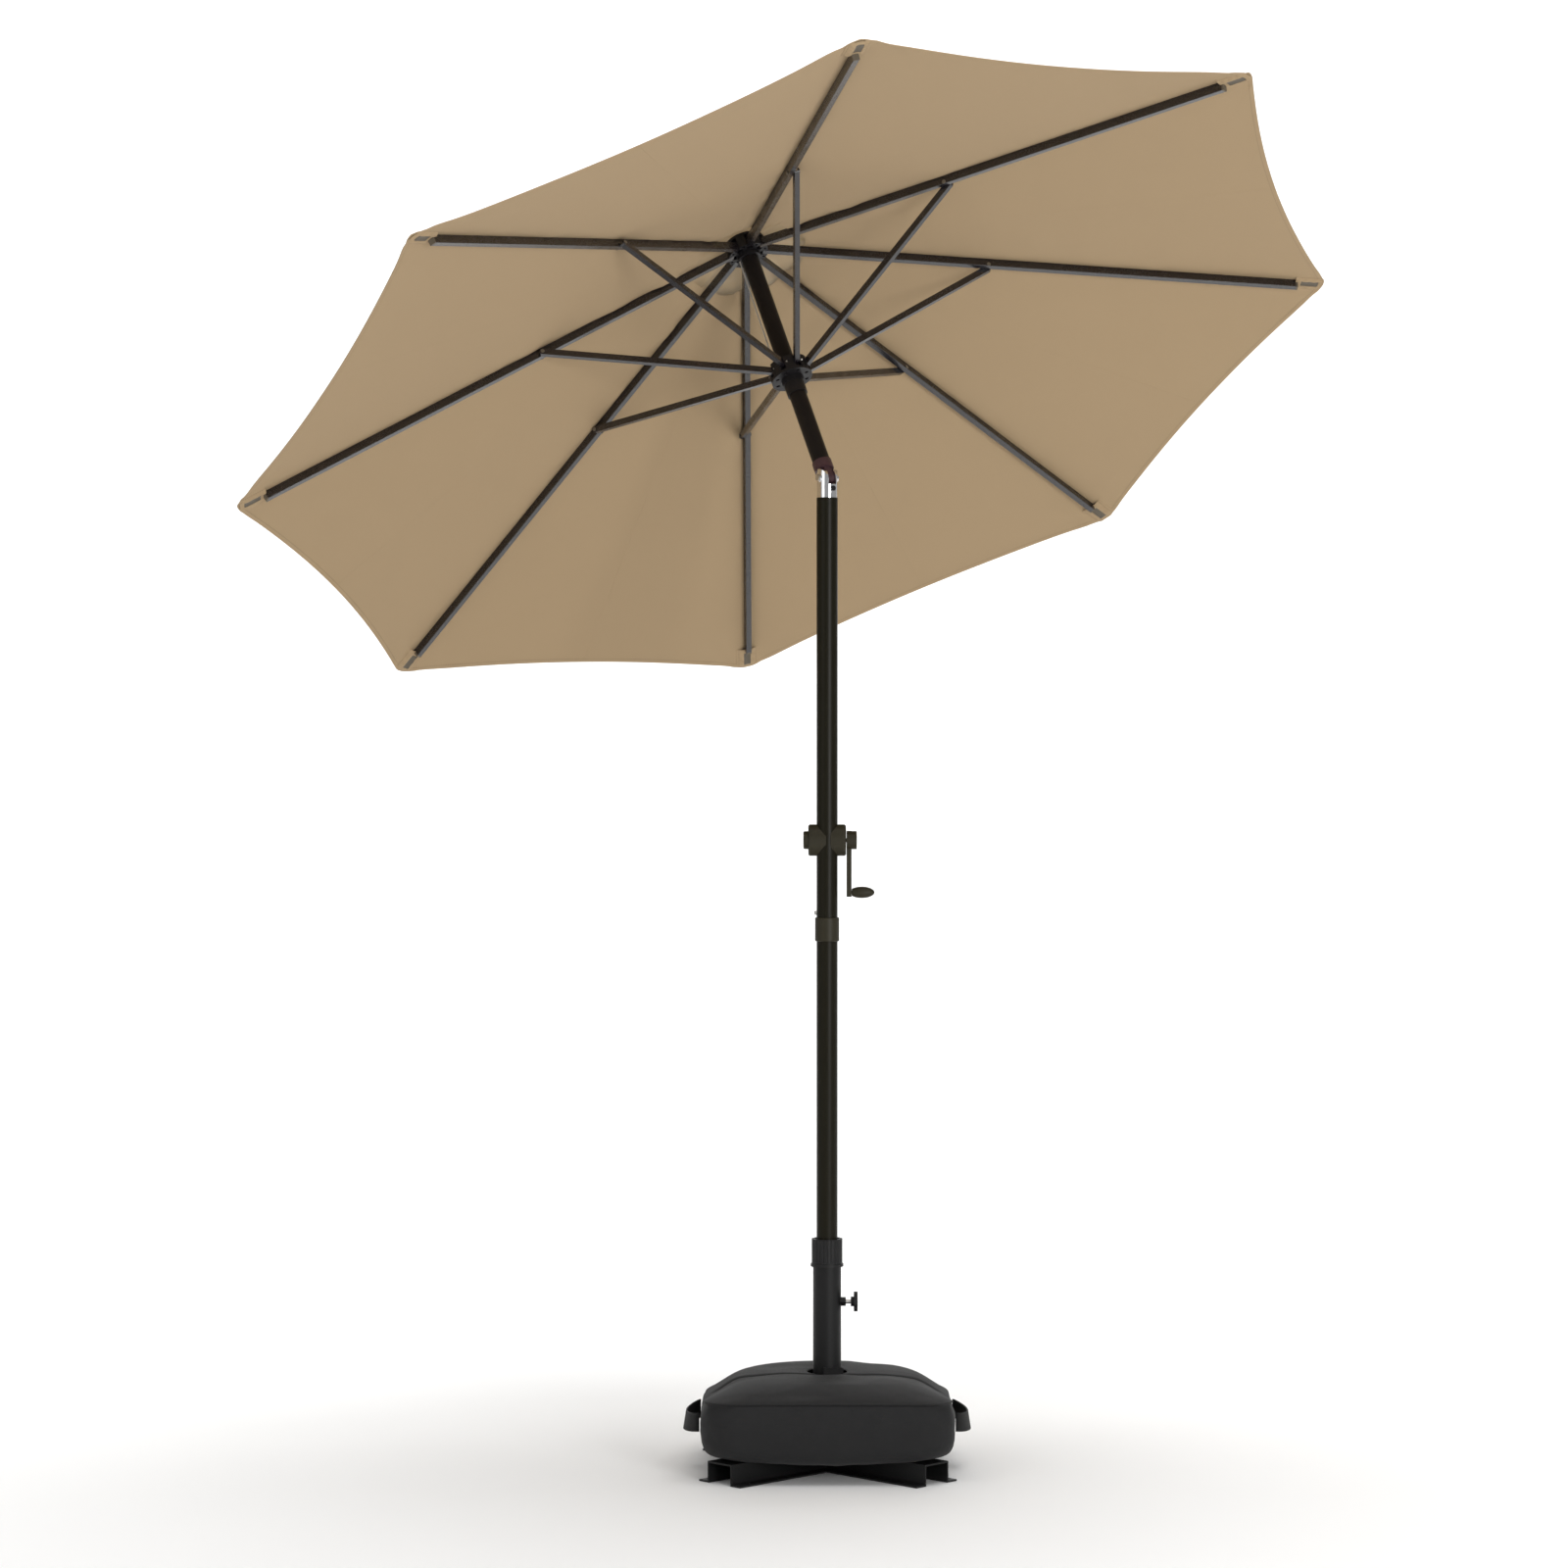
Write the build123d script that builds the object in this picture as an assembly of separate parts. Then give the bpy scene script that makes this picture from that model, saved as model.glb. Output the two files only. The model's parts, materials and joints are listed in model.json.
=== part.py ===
from build123d import *
import os
from math import atan2, cos, degrees, hypot, radians, sin

# Market umbrella, eight ribs, crank lift and push-button tilt, standing in a
# filled weight base. Millimetres, +Z up, origin on the floor under the pole.
# +X is the side of the crank handle and of the base's clamp screw.

# ---- clearances ------------------------------------------------------------
running_gap = 0.4
pin_gap = 0.15
press_gap = 0.03
cloth_gap = 0.5
stop_gap = 1.0

# ---- pose of the tilted top ------------------------------------------------
pivot_height = 1780.0
tilt_angle = 31.0
tilt_heading = 124.2
rib_count = 8
rib_step = 360.0 / rib_count
first_rib = 155.5

# ---- rib linkage -----------------------------------------------------------
hinge_radius = 31.5
crown_height = 506.0
rib_angle = 72.2
rib_width = 11.0
rib_depth = 16.0
rib_wall = 0.9
rib_length = 1000.0
rib_inner_end = 8.0
rib_drop = 3.5
canopy_reach = 1055.0
pin_along_rib = 420.7
pin_below_rib = 4.5
strut_width = 9.0
strut_depth = 12.0
strut_wall = 1.0
rivet_radius = 2.0
rivet_head_radius = 3.6
rivet_head_height = 1.4
tip_plug_length = 20.0
tip_tab_length = 44.0
tip_tab_width = 15.0
tip_tab_thickness = 3.6

# ---- canopy cloth ----------------------------------------------------------
cloth = 1.2
cloth_lift = 0.7
vent_opening = 74.0
vent_opening_bow = 16.0
hem_sag = 30.0
seam_gap = 0.15
cap_lift = 19.0
cap_reach = 236.0
cap_sag = 18.0
cap_hole = 20.0

# ---- crown hub and finial --------------------------------------------------
hub_radius = 38.0
hub_below = 12.0
hub_above = 16.0
hub_slot_top = 11.0
hub_neck_radius = 22.0
hub_neck = 8.0
slot_clearance = 0.4
slot_inner = 22.6
hub_hole_radius = 2.6
hub_hole_ring = 33.0
finial_stem = 15.0
finial_height = 62.0
finial_turning = (
    # radius, height above the cap's cloth
    (31.0, 0.0),
    (31.0, 3.0),
    (19.2, 8.0),
    (12.4, 13.0),
    (11.2, 19.0),
)
finial_ball = (20.5, 32.0)

# ---- runner ----------------------------------------------------------------
runner_radius = 38.0
runner_above = 12.0
runner_below = 18.0
runner_flange = 5.0
runner_slot_inner = 24.0
runner_neck_radius = 20.5
runner_neck_step = 18.6
runner_neck_length = 34.0
runner_collar = 10.2
runner_hole_radius = 3.4
runner_hole_ring = 29.5

# ---- mast and poles --------------------------------------------------------
mast_radius = 16.0
mast_wall = 1.4
mast_foot = 22.0
pole_radius = 19.0
pole_wall = 1.4

# ---- tilt joint ------------------------------------------------------------
collar_radius = 17.8
collar_top = 34.0
ear_radius = 15.4
ear_boss_radius = 8.5
ear_boss_reach = 19.6
tongue_half = 7.6
tongue_radius = 11.0
cord_slot_width = 8.0
cord_slot_reach = 17.6
knuckle_radius = 18.4
knuckle_base = 36.0
knuckle_spigot = 26.0
tilt_pin_radius = 4.0
tilt_pin_head = 6.0
tilt_pin_head_height = 1.6
tilt_button_radius = 4.6
tilt_button_depth = 7.0
tilt_button_proud = 2.4
tilt_button_drop = 19.5

# ---- crank -----------------------------------------------------------------
crank_drop = 652.0
housing_half_height = 28.5
housing_half_depth = 19.7
housing_reach = 34.0
housing_left_tip = 2.0
housing_right_tip = 6.0
housing_bevel = 2.5
boss_radius = 16.3
boss_length = 9.0
boss_round = 3.0
hub_disc_radius = 17.0
hub_disc = 9.0
hub_cap_radius = 16.5
hub_cap = 9.5
arm_length = 102.0
arm_top_width = 17.0
arm_end_width = 14.0
arm_thickness = 9.0
grip_centre_drop = 94.0
grip_length = 41.0
grip_radius = 10.4
grip_belly = 18.0
grip_axle_radius = 3.2
grip_axle = 33.0
grip_bore = 34.4
shaft_radius = 4.0
spool_radius = 12.0
spool_half = 8.0
spool_flange = 15.0
spool_flange_width = 2.0

# ---- hoist cord ------------------------------------------------------------
cord_radius = 1.25
cord_heading = 58.0
cord_inside = 8.0
cord_outside_top = 19.4
cord_outside_low = 22.2
cord_hole_radius = 2.2
cord_foot = 9.0

# ---- pole joint ------------------------------------------------------------
coupler_top_drop = 791.0
coupler_height = 43.0
coupler_radius = 21.9
coupler_seat = 30.0
spigot_up = 78.0
spigot_down = 40.0
spigot_wall = 1.6
snap_drop = 783.0
snap_radius = 3.6
snap_length = 9.0
snap_proud = 4.4
snap_round = 1.6

# ---- base ------------------------------------------------------------------
steel = 3.0
leg_length = 270.0
leg_top_width = 60.0
leg_height = 38.0
foot_flange = 22.0
anchor_hole_radius = 3.5
anchor_hole_along = 235.0
anchor_hole_across = 41.0
socket_radius = 25.4
socket_wall = 2.0
socket_top = 398.0
cap_bottom = 360.0
cap_top = 410.0
cap_radius = 27.8
cap_flutes = 24
cap_flute_depth = 0.9
cap_bead_radius = 29.6
cap_bead = 5.0
cap_flute_start = 8.0
cap_mouth_radius = 22.6
cap_mouth_depth = 8.0
clamp_height = 296.0
nut_across = 15.0
nut_length = 8.4
stud_radius = 3.8
knob_hub_radius = 8.8
knob_hub = 5.5
knob_disc_radius = 18.0
knob_disc = 6.8
knob_lobes = 6
knob_notch_radius = 5.0
knob_notch_out = 2.2
knob_gap_from_nut = 9.0
knob_socket = 8.0
plug_flange = 3.6
plug_length = 20.0
foot_gap = 0.3

# ---- weight bag ------------------------------------------------------------
bag_half = 228.0
bag_rest = 38.3
bag_hole = 31.0
bag_cloth = 2.0
fill_level = 88.0
bag_levels = (
    # height above the feet, share of the half width, corner share of the half width
    (0.0, 0.86, 0.34),
    (14.0, 0.955, 0.32),
    (52.0, 1.0, 0.30),
    (92.0, 0.985, 0.28),
    (108.0, 0.94, 0.27),
    (122.0, 0.80, 0.34),
    (130.0, 0.62, 0.40),
    (133.5, 0.40, 0.50),
)
handle_height = 90.0
handle_tape = 34.0
handle_thickness = 3.0
handle_span = 150.0
handle_bow = 27.0

# ---- derived ---------------------------------------------------------------
pin_drop = rib_drop + pin_below_rib
link_length = hypot(pin_along_rib, pin_drop)
link_angle = rib_angle - degrees(atan2(pin_drop, pin_along_rib))
runner_height = crown_height - 2 * link_length * cos(radians(link_angle))
strut_offset = rib_width / 2 + running_gap + strut_width / 2
half_step = radians(rib_step / 2)
crank_height = pivot_height - crank_drop
coupler_top = pivot_height - coupler_top_drop
coupler_base = coupler_top - coupler_height
pole_split = coupler_base + coupler_seat / 2
pole_bore = pole_radius - pole_wall
pole_foot_height = leg_height + foot_gap + plug_flange

pivot_place = Pos(0, 0, pivot_height) * Rot(0, 0, tilt_heading)
top_place = pivot_place * Rot(0, tilt_angle, 0)


def rib_place(index):
    """Rib hinge: x along the rib, z out of the canopy."""
    turn = Rot(0, 0, first_rib + rib_step * index)
    lean = Rot(0, 90 - rib_angle, 0)
    return top_place * turn * Pos(hinge_radius, 0, crown_height) * lean


def strut_place(index):
    """Strut's lower hinge: x along the strut towards its rib."""
    turn = Rot(0, 0, first_rib + rib_step * index)
    lean = Rot(0, link_angle - 90, 0)
    return top_place * turn * Pos(hinge_radius, strut_offset, runner_height) * lean


def along_x(radius, start, end, y=0.0, z=0.0):
    bar = Cylinder(radius, end - start, rotation=(0, 90, 0))
    return Pos((start + end) / 2, y, z) * bar


def along_y(radius, start, end, x=0.0, z=0.0):
    bar = Cylinder(radius, end - start, rotation=(90, 0, 0))
    return Pos(x, (start + end) / 2, z) * bar


def along_z(radius, start, end, x=0.0, y=0.0):
    return Pos(x, y, (start + end) / 2) * Cylinder(radius, end - start)


def block(x0, x1, y0, y1, z0, z1):
    return Pos((x0 + x1) / 2, (y0 + y1) / 2, (z0 + z1) / 2) * Box(x1 - x0, y1 - y0, z1 - z0)


def tube(outer, wall, start, end):
    return along_z(outer, start, end) - along_z(outer - wall, start - 1, end + 1)


def around(shape, count):
    """The shape repeated about Z."""
    step = 360.0 / count
    return [Rot(0, 0, step * n) * shape for n in range(count)]


def joined(shapes):
    whole = shapes[0]
    for shape in shapes[1:]:
        whole = whole + shape
    return whole


# ---- ribs and struts -------------------------------------------------------
def rib():
    half = rib_width / 2
    low = -rib_drop - rib_depth / 2
    high = -rib_drop + rib_depth / 2
    shell = block(-rib_inner_end, rib_length, -half, half, low, high)
    corners = shell.edges().filter_by(Axis.X)
    shell = fillet(corners, rib_wall)
    heel = block(-rib_inner_end - 1, 0, -half - 1, half + 1, low - 1, high + 1)
    shell -= heel - along_y(rib_inner_end, -half - 2, half + 2)
    inside = half - rib_wall
    shell -= block(-rib_inner_end - 1, rib_length + 1, -inside, inside, low + rib_wall, high - rib_wall)
    shell -= along_y(rivet_radius + pin_gap, -half - 1, half + 1)
    shell -= along_y(rivet_radius + press_gap, -half - 1, half + 1, pin_along_rib, -pin_drop)
    return shell


def rib_fittings():
    """Strut rivet, and the moulded tip that plugs the rib and fills the pocket."""
    near = -rib_width / 2 - running_gap / 2
    far = strut_offset + strut_width / 2 + running_gap / 2
    rivet = along_y(rivet_radius, near, far, pin_along_rib, -pin_drop)
    rivet += along_y(rivet_head_radius, near - rivet_head_height, near, pin_along_rib, -pin_drop)
    rivet += along_y(rivet_head_radius, far, far + rivet_head_height, pin_along_rib, -pin_drop)
    inside = rib_width / 2 - rib_wall - press_gap
    low = -rib_drop - rib_depth / 2 + rib_wall + press_gap
    high = -rib_drop + rib_depth / 2 - rib_wall - press_gap
    top = -rib_drop + rib_depth / 2
    plug = block(rib_length - tip_plug_length, rib_length + press_gap, -inside, inside, low, high)
    half_tab = tip_tab_width / 2
    shoulder = block(
        rib_length + press_gap, rib_length + tip_tab_thickness,
        -rib_width / 2, rib_width / 2, -rib_drop - rib_depth / 2, top)
    tab = block(
        rib_length + press_gap, rib_length + tip_tab_length,
        -half_tab, half_tab, top - tip_tab_thickness, top)
    return Compound(children=[rivet, plug + shoulder + tab])


def strut():
    half = strut_width / 2
    round_end = strut_depth / 2
    body = block(0, link_length, -half, half, -round_end, round_end)
    body += along_y(round_end, -half, half)
    body += along_y(round_end, -half, half, link_length)
    inside = half - strut_wall
    trough = block(
        -round_end - 1, link_length + round_end + 1,
        -inside, inside, -round_end + strut_wall, round_end + 1)
    body -= trough
    body -= along_y(rivet_radius + pin_gap, -half - 1, half + 1)
    body -= along_y(rivet_radius + pin_gap, -half - 1, half + 1, link_length)
    return body


# ---- canopy ----------------------------------------------------------------
def gore_point(along, share, lift):
    """Point in the top's frame, from a rib line (share 0) to the next (share 1)."""
    lean = radians(rib_angle)
    radius = hinge_radius + along * sin(lean) + lift * cos(lean)
    height = crown_height - along * cos(lean) + lift * sin(lean)
    here = Vector(radius, 0, height)
    there = Vector(radius * cos(2 * half_step), radius * sin(2 * half_step), height)
    return here * (1 - share) + there * share


def canopy_half(gap_share):
    """Half a gore, from its rib line to the middle of the gore."""
    lift = rib_depth / 2 - rib_drop + cloth_lift + cloth_gap
    end = 0.5 - gap_share

    def hem(share):
        return gore_point(canopy_reach - hem_sag * 4 * share * (1 - share), share, lift)

    def mouth(share):
        return gore_point(vent_opening + vent_opening_bow * 4 * share * (1 - share), share, lift)

    outline = [
        Line(mouth(0), hem(0)),
        ThreePointArc(hem(0), hem(end / 2), hem(end)),
        Line(hem(end), mouth(end)),
        ThreePointArc(mouth(end), mouth(end / 2), mouth(0)),
    ]
    return extrude(Face(Wire(outline)), amount=cloth, dir=(0, 0, 1))


def canopy_gore():
    outer_width = 2 * (hinge_radius + canopy_reach) * sin(half_step)
    half = canopy_half(seam_gap / outer_width)
    return half + mirror(half, about=Plane.XZ)


def vent_cap():
    """Small upper canopy over the vent, pierced for the finial stem."""
    def hem(share):
        return gore_point(cap_reach - cap_sag * 4 * share * (1 - share), share, cap_lift)

    outline = [
        Line(gore_point(0, 0, cap_lift), hem(0)),
        ThreePointArc(hem(0), hem(0.5), hem(1)),
        Line(hem(1), gore_point(0, 1, cap_lift)),
        Line(gore_point(0, 1, cap_lift), gore_point(0, 0, cap_lift)),
    ]
    gore = extrude(Face(Wire(outline)), amount=cloth, dir=(0, 0, 1))
    middle_height = gore_point(0, 0, cap_lift).Z
    crown = joined(around(gore, rib_count))
    apex_radius = gore_point(0, 0, cap_lift).X
    disc = Pos(0, 0, middle_height) * extrude(
        RegularPolygon(apex_radius, rib_count, major_radius=True), cloth)
    hole = along_z(cap_hole, middle_height - 1, middle_height + cloth + 1)
    return crown + disc - hole


# ---- crown -----------------------------------------------------------------
def crown_hub():
    low = crown_height - hub_below
    high = crown_height + hub_above
    body = along_z(hub_radius, low, high) + along_z(hub_neck_radius, low - hub_neck, low + 1)
    slot_half = rib_width / 2 + slot_clearance
    slot = block(slot_inner, hub_radius + 1, -slot_half, slot_half, low - 1, crown_height + hub_slot_top)
    pin_reach = slot_half + rib_width / 2
    pin_hole = along_y(rivet_radius + press_gap, -pin_reach, pin_reach, hinge_radius, crown_height)
    window = Rot(0, 0, rib_step / 2) * along_z(hub_hole_radius, low - 1, low + hub_below / 2, hub_hole_ring)
    phase = Rot(0, 0, first_rib)
    for cut in (slot, pin_hole, window):
        for copy in around(cut, rib_count):
            body -= phase * copy
    body -= along_z(mast_radius + press_gap, low - hub_neck - 1, crown_height + hub_below / 2)
    body -= along_z(slot_inner - 1, crown_height + hub_below / 2, high - mast_wall * 2)
    cord = Rot(0, 0, cord_heading) * along_z(
        cord_hole_radius, low - hub_neck - 1, high - hub_above / 2, cord_outside_top)
    return body - cord


def hinge_pins(height, offset, half_slot):
    """Eight tangential hinge pins about the mast."""
    reach = half_slot + rib_width / 2 - press_gap
    pin = along_y(rivet_radius, offset - reach, offset + reach, hinge_radius, height)
    return [Rot(0, 0, first_rib) * copy for copy in around(pin, rib_count)]


def finial():
    """Turned knob that clamps the vent cap's middle down on the hub."""
    floor = crown_height + hub_above
    seat = gore_point(0, 0, cap_lift).Z + cloth + press_gap
    top = floor + finial_height
    turned = [(radius, seat + height) for radius, height in finial_turning]
    outline = Polyline((0, floor), (finial_stem, floor), (finial_stem, seat), *turned)
    ball_radius, ball_height = finial_ball
    knob = Spline(turned[-1], (ball_radius, seat + ball_height), (0, top), tangents=((1, 0.6), (-1, 0)))
    close = Line((0, top), (0, floor))
    section = make_face(Wire(outline.edges() + knob.edges() + close.edges()))
    return revolve(Plane.XZ * section, Axis.Z)


# ---- runner ----------------------------------------------------------------
def runner():
    low = runner_height - runner_below
    high = runner_height + runner_above
    body = along_z(runner_radius, low, high)
    neck_mid = low - runner_collar
    body += along_z(runner_neck_radius, neck_mid, low + 1)
    body += along_z(runner_neck_step, low - runner_neck_length, neck_mid + 1)
    half = strut_width / 2 + slot_clearance
    slot = block(
        runner_slot_inner, runner_radius + 1, strut_offset - half, strut_offset + half,
        low + runner_flange, high + 1)
    reach = half + rib_width / 2
    pin_hole = along_y(
        rivet_radius + press_gap, strut_offset - reach, strut_offset + reach, hinge_radius, runner_height)
    window = along_z(runner_hole_radius, low - 1, low + runner_flange / 2, runner_hole_ring)
    window = Rot(0, 0, rib_step / 3) * window
    phase = Rot(0, 0, first_rib)
    for cut in (slot, pin_hole, window):
        for copy in around(cut, rib_count):
            body -= phase * copy
    body -= along_z(mast_radius + running_gap, low - runner_neck_length - 1, high + 1)
    cord = Rot(0, 0, cord_heading) * along_z(
        cord_hole_radius, high - runner_above / 2, high + 1, cord_outside_low)
    return body - cord


# ---- tilt joint ------------------------------------------------------------
def upper_mast():
    return tube(mast_radius, mast_wall, mast_foot, crown_height + hub_below / 2)


def tilt_collar():
    """Cap on the mast's foot, with a tongue that swings between the fork's ears."""
    skirt = ear_radius + 2 * running_gap
    body = along_z(collar_radius, skirt, collar_top)
    body -= along_z(mast_radius + press_gap, mast_foot, collar_top + 1)
    body += along_y(tongue_radius, -tongue_half, tongue_half)
    body += block(-tongue_radius, tongue_radius, -tongue_half, tongue_half, 0, skirt + 1)
    clear = tongue_radius + 1
    body -= cord_slot(0, mast_foot + 1)
    body -= block(0, clear, -cord_slot_width / 2, cord_slot_width / 2, -clear, cord_slot_width / 2)
    return body - along_y(tilt_pin_radius + press_gap, -tongue_half - 1, tongue_half + 1)


def cord_slot(low, high):
    """Room for the hoist cord to pass the tilt pin on either side."""
    reach = cord_slot_reach / 2
    return block(-reach, reach, -cord_slot_width / 2, cord_slot_width / 2, low, high)


def tilt_knuckle():
    """Plated fork with two round ears, the pole spigot and the cord slot."""
    round_ears = along_y(ear_radius, -knuckle_radius, knuckle_radius)
    body = along_z(knuckle_radius, -knuckle_base, 0)
    body += round_ears & along_z(knuckle_radius, -ear_radius, ear_radius)
    body += along_y(ear_boss_radius, -ear_boss_reach, ear_boss_reach)
    gap = tongue_half + running_gap
    floor = -tongue_radius - stop_gap
    wide = knuckle_radius + 1
    body -= block(-wide, wide, -gap, gap, floor, ear_radius + 1)
    body += along_z(pole_bore - press_gap, -knuckle_base - knuckle_spigot, -knuckle_base + 1)
    body -= cord_slot(-knuckle_base - knuckle_spigot - 1, floor + 1)
    body -= along_y(tilt_pin_radius + pin_gap, -ear_boss_reach - 1, ear_boss_reach + 1)
    start = -knuckle_radius - 1
    end = -knuckle_radius + tilt_button_depth
    return body - along_x(tilt_button_radius + pin_gap, start, end, 0, -tilt_button_drop)


def tilt_pin():
    reach = ear_boss_reach + pin_gap
    pin = along_y(tilt_pin_radius, -reach, reach)
    pin += along_y(tilt_pin_head, reach, reach + tilt_pin_head_height)
    return pin + along_y(tilt_pin_head, -reach - tilt_pin_head_height, -reach)


def tilt_button():
    start = -knuckle_radius - tilt_button_proud
    end = start + tilt_button_depth - 2 * running_gap
    return along_x(tilt_button_radius, start, end, 0, -tilt_button_drop)


# ---- poles -----------------------------------------------------------------
def upper_pole():
    body = tube(pole_radius, pole_wall, pole_split, pivot_height - knuckle_base)
    body -= along_x(shaft_radius + running_gap, -pole_radius - 1, pole_radius + 1, 0, crank_height)
    snap_height = pivot_height - snap_drop
    return body - along_x(snap_radius + running_gap, -pole_radius - 1, 0, 0, snap_height)


def lower_pole():
    return tube(pole_radius, pole_wall, pole_foot_height, pole_split - press_gap)


def pole_foot():
    """Moulded plug that closes the foot of the pole."""
    flange = along_z(pole_radius, leg_height + foot_gap, pole_foot_height - press_gap)
    stem_top = pole_foot_height + plug_length
    return flange + along_z(pole_bore - pin_gap, pole_foot_height - 1, stem_top)


def pole_coupler():
    """Collar over the joint of the two poles, with the spigot inside them."""
    collar = along_z(coupler_radius, coupler_base, coupler_top)
    collar = chamfer(collar.edges().filter_by(GeomType.CIRCLE), running_gap * 3)
    collar -= along_z(pole_radius + press_gap, coupler_base - 1, coupler_top + 1)
    return collar


def spigot():
    body = tube(pole_bore - press_gap, spigot_wall, pole_split - spigot_down, pole_split + spigot_up)
    snap_height = pivot_height - snap_drop
    return body - along_x(snap_radius + running_gap, -pole_radius - 1, 0, 0, snap_height)


def snap_button():
    snap_height = pivot_height - snap_drop
    start = -pole_radius - snap_proud
    button = along_x(snap_radius, start, start + snap_length, 0, snap_height)
    return fillet(button.edges().filter_by(GeomType.CIRCLE).sort_by(Axis.X)[:1], snap_round)


# ---- crank -----------------------------------------------------------------
def crank_barrel(start, end):
    """Oval housing barrel along X."""
    section = Plane.YZ * Ellipse(housing_half_depth, housing_half_height)
    return Pos(start, 0, crank_height) * extrude(section, end - start)


def housing_left():
    body = crank_barrel(-housing_reach, -housing_left_tip)
    outer = body.edges().sort_by(Axis.X)[:1]
    body = chamfer(outer, housing_bevel)
    body -= along_z(
        pole_radius + press_gap, crank_height - housing_half_height - 1,
        crank_height + housing_half_height + 1)
    boss = along_x(boss_radius, -housing_reach - boss_length, -housing_reach, 0, crank_height)
    rim = boss.edges().filter_by(GeomType.CIRCLE).sort_by(Axis.X)[:1]
    return body + fillet(rim, boss_round) - along_x(
        shaft_radius + pin_gap, -housing_reach - boss_length / 2, 0, 0, crank_height)


def housing_right():
    body = crank_barrel(housing_right_tip, housing_reach)
    outer = body.edges().sort_by(Axis.X)[-1:]
    body = chamfer(outer, housing_bevel)
    body -= along_z(
        pole_radius + press_gap, crank_height - housing_half_height - 1,
        crank_height + housing_half_height + 1)
    return body - along_x(shaft_radius + pin_gap, 0, housing_reach + 1, 0, crank_height)


def crank_arm():
    inner = housing_reach + stop_gap
    outer = inner + hub_disc
    hub = along_x(hub_disc_radius, inner, outer, 0, crank_height)
    hub += along_x(hub_cap_radius, outer, outer + hub_cap, 0, crank_height)
    rim = hub.edges().filter_by(GeomType.CIRCLE).sort_by(Axis.X)[-1:]
    hub = fillet(rim, boss_round / 2)
    arm_outline = Polyline(
        (-arm_top_width / 2, 0), (arm_top_width / 2, 0), (arm_end_width / 2, -arm_length),
        (-arm_end_width / 2, -arm_length), close=True)
    arm = Pos(inner, 0, crank_height) * extrude(Plane.YZ * make_face(arm_outline), arm_thickness)
    lug = along_x(arm_end_width / 2, inner, outer, 0, crank_height - grip_centre_drop)
    axle = along_x(grip_axle_radius, outer - 1, outer + grip_axle, 0, crank_height - grip_centre_drop)
    bore = along_x(shaft_radius + press_gap, inner - 1, outer, 0, crank_height)
    return hub + arm + lug + axle - bore


def crank_grip():
    """Egg-shaped grip that turns on the arm's axle."""
    start = housing_reach + stop_gap + hub_disc + running_gap
    egg = Pos(start + grip_belly, 0) * Ellipse(grip_length - grip_belly, grip_radius)
    half = Pos(start + grip_length / 2, grip_radius / 2) * Rectangle(grip_length, grip_radius)
    body = revolve(Plane.XZ * (egg & half), Axis.X)
    body -= along_x(grip_axle_radius + running_gap, start - 1, start + grip_bore)
    return Pos(0, 0, crank_height - grip_centre_drop) * body


def spool():
    """Shaft and drum that wind the hoist cord."""
    start = -housing_reach - boss_length / 2 + running_gap
    end = housing_reach + stop_gap + hub_disc - running_gap
    body = along_x(shaft_radius, start, end) + along_x(spool_radius, -spool_half, spool_half)
    body += along_x(spool_flange, -spool_half, -spool_half + spool_flange_width)
    body += along_x(spool_flange, spool_half - spool_flange_width, spool_half)
    return Pos(0, 0, crank_height) * body


# ---- hoist cord ------------------------------------------------------------
def hoist_cord():
    """From the runner up to the crown, over the mast's lip, and down to the spool."""
    heading = radians(cord_heading)
    inward = Vector(cos(heading), sin(heading), 0)
    lip = crown_height + hub_below / 2 + cord_radius + running_gap
    crest = lip + 2 * cord_radius
    over_lip = (cord_outside_top + cord_inside) / 2
    beside_pin = Vector(tilt_pin_radius + 2 * cord_radius, 0, 0)
    upper = [
        inward * cord_outside_low + Vector(0, 0, runner_height + cord_foot),
        inward * cord_outside_top + Vector(0, 0, crown_height - hub_below - hub_neck),
        inward * cord_outside_top + Vector(0, 0, lip),
        inward * over_lip + Vector(0, 0, crest),
        inward * cord_inside + Vector(0, 0, lip),
        beside_pin + Vector(0, 0, collar_top),
    ]
    lower = [
        beside_pin - Vector(0, 0, knuckle_base),
        beside_pin - Vector(0, 0, knuckle_base + knuckle_spigot),
    ]
    wound = spool_radius + cord_radius + running_gap / 4
    points = [top_place * Vertex(*point) for point in upper]
    points.append(pivot_place * Rot(0, tilt_angle / 2, 0) * Vertex(*beside_pin))
    points += [pivot_place * Vertex(*point) for point in lower]
    points += [Vertex(0, wound, crank_height + 2 * spool_flange), Vertex(0, wound, crank_height)]
    corners = [Vector(*point.center()) for point in points]
    cord = None
    for here, there in zip(corners, corners[1:]):
        run = Plane(origin=here, z_dir=there - here) * Cylinder(
            cord_radius, (there - here).length, align=(Align.CENTER, Align.CENTER, Align.MIN))
        if cord is None:
            cord = run
            continue
        cord = cord + run
        cord = cord + Pos(*here) * Sphere(cord_radius)
    return cord


# ---- base ------------------------------------------------------------------
def hat_bar():
    half = leg_top_width / 2
    wide = half + foot_flange
    bar = block(-leg_length, leg_length, -half, half, 0, leg_height)
    bar -= block(-leg_length - 1, leg_length + 1, -half + steel, half - steel, -1, leg_height - steel)
    bar += block(-leg_length, leg_length, half - steel, wide, 0, steel)
    return bar + block(-leg_length, leg_length, -wide, -half + steel, 0, steel)


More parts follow.
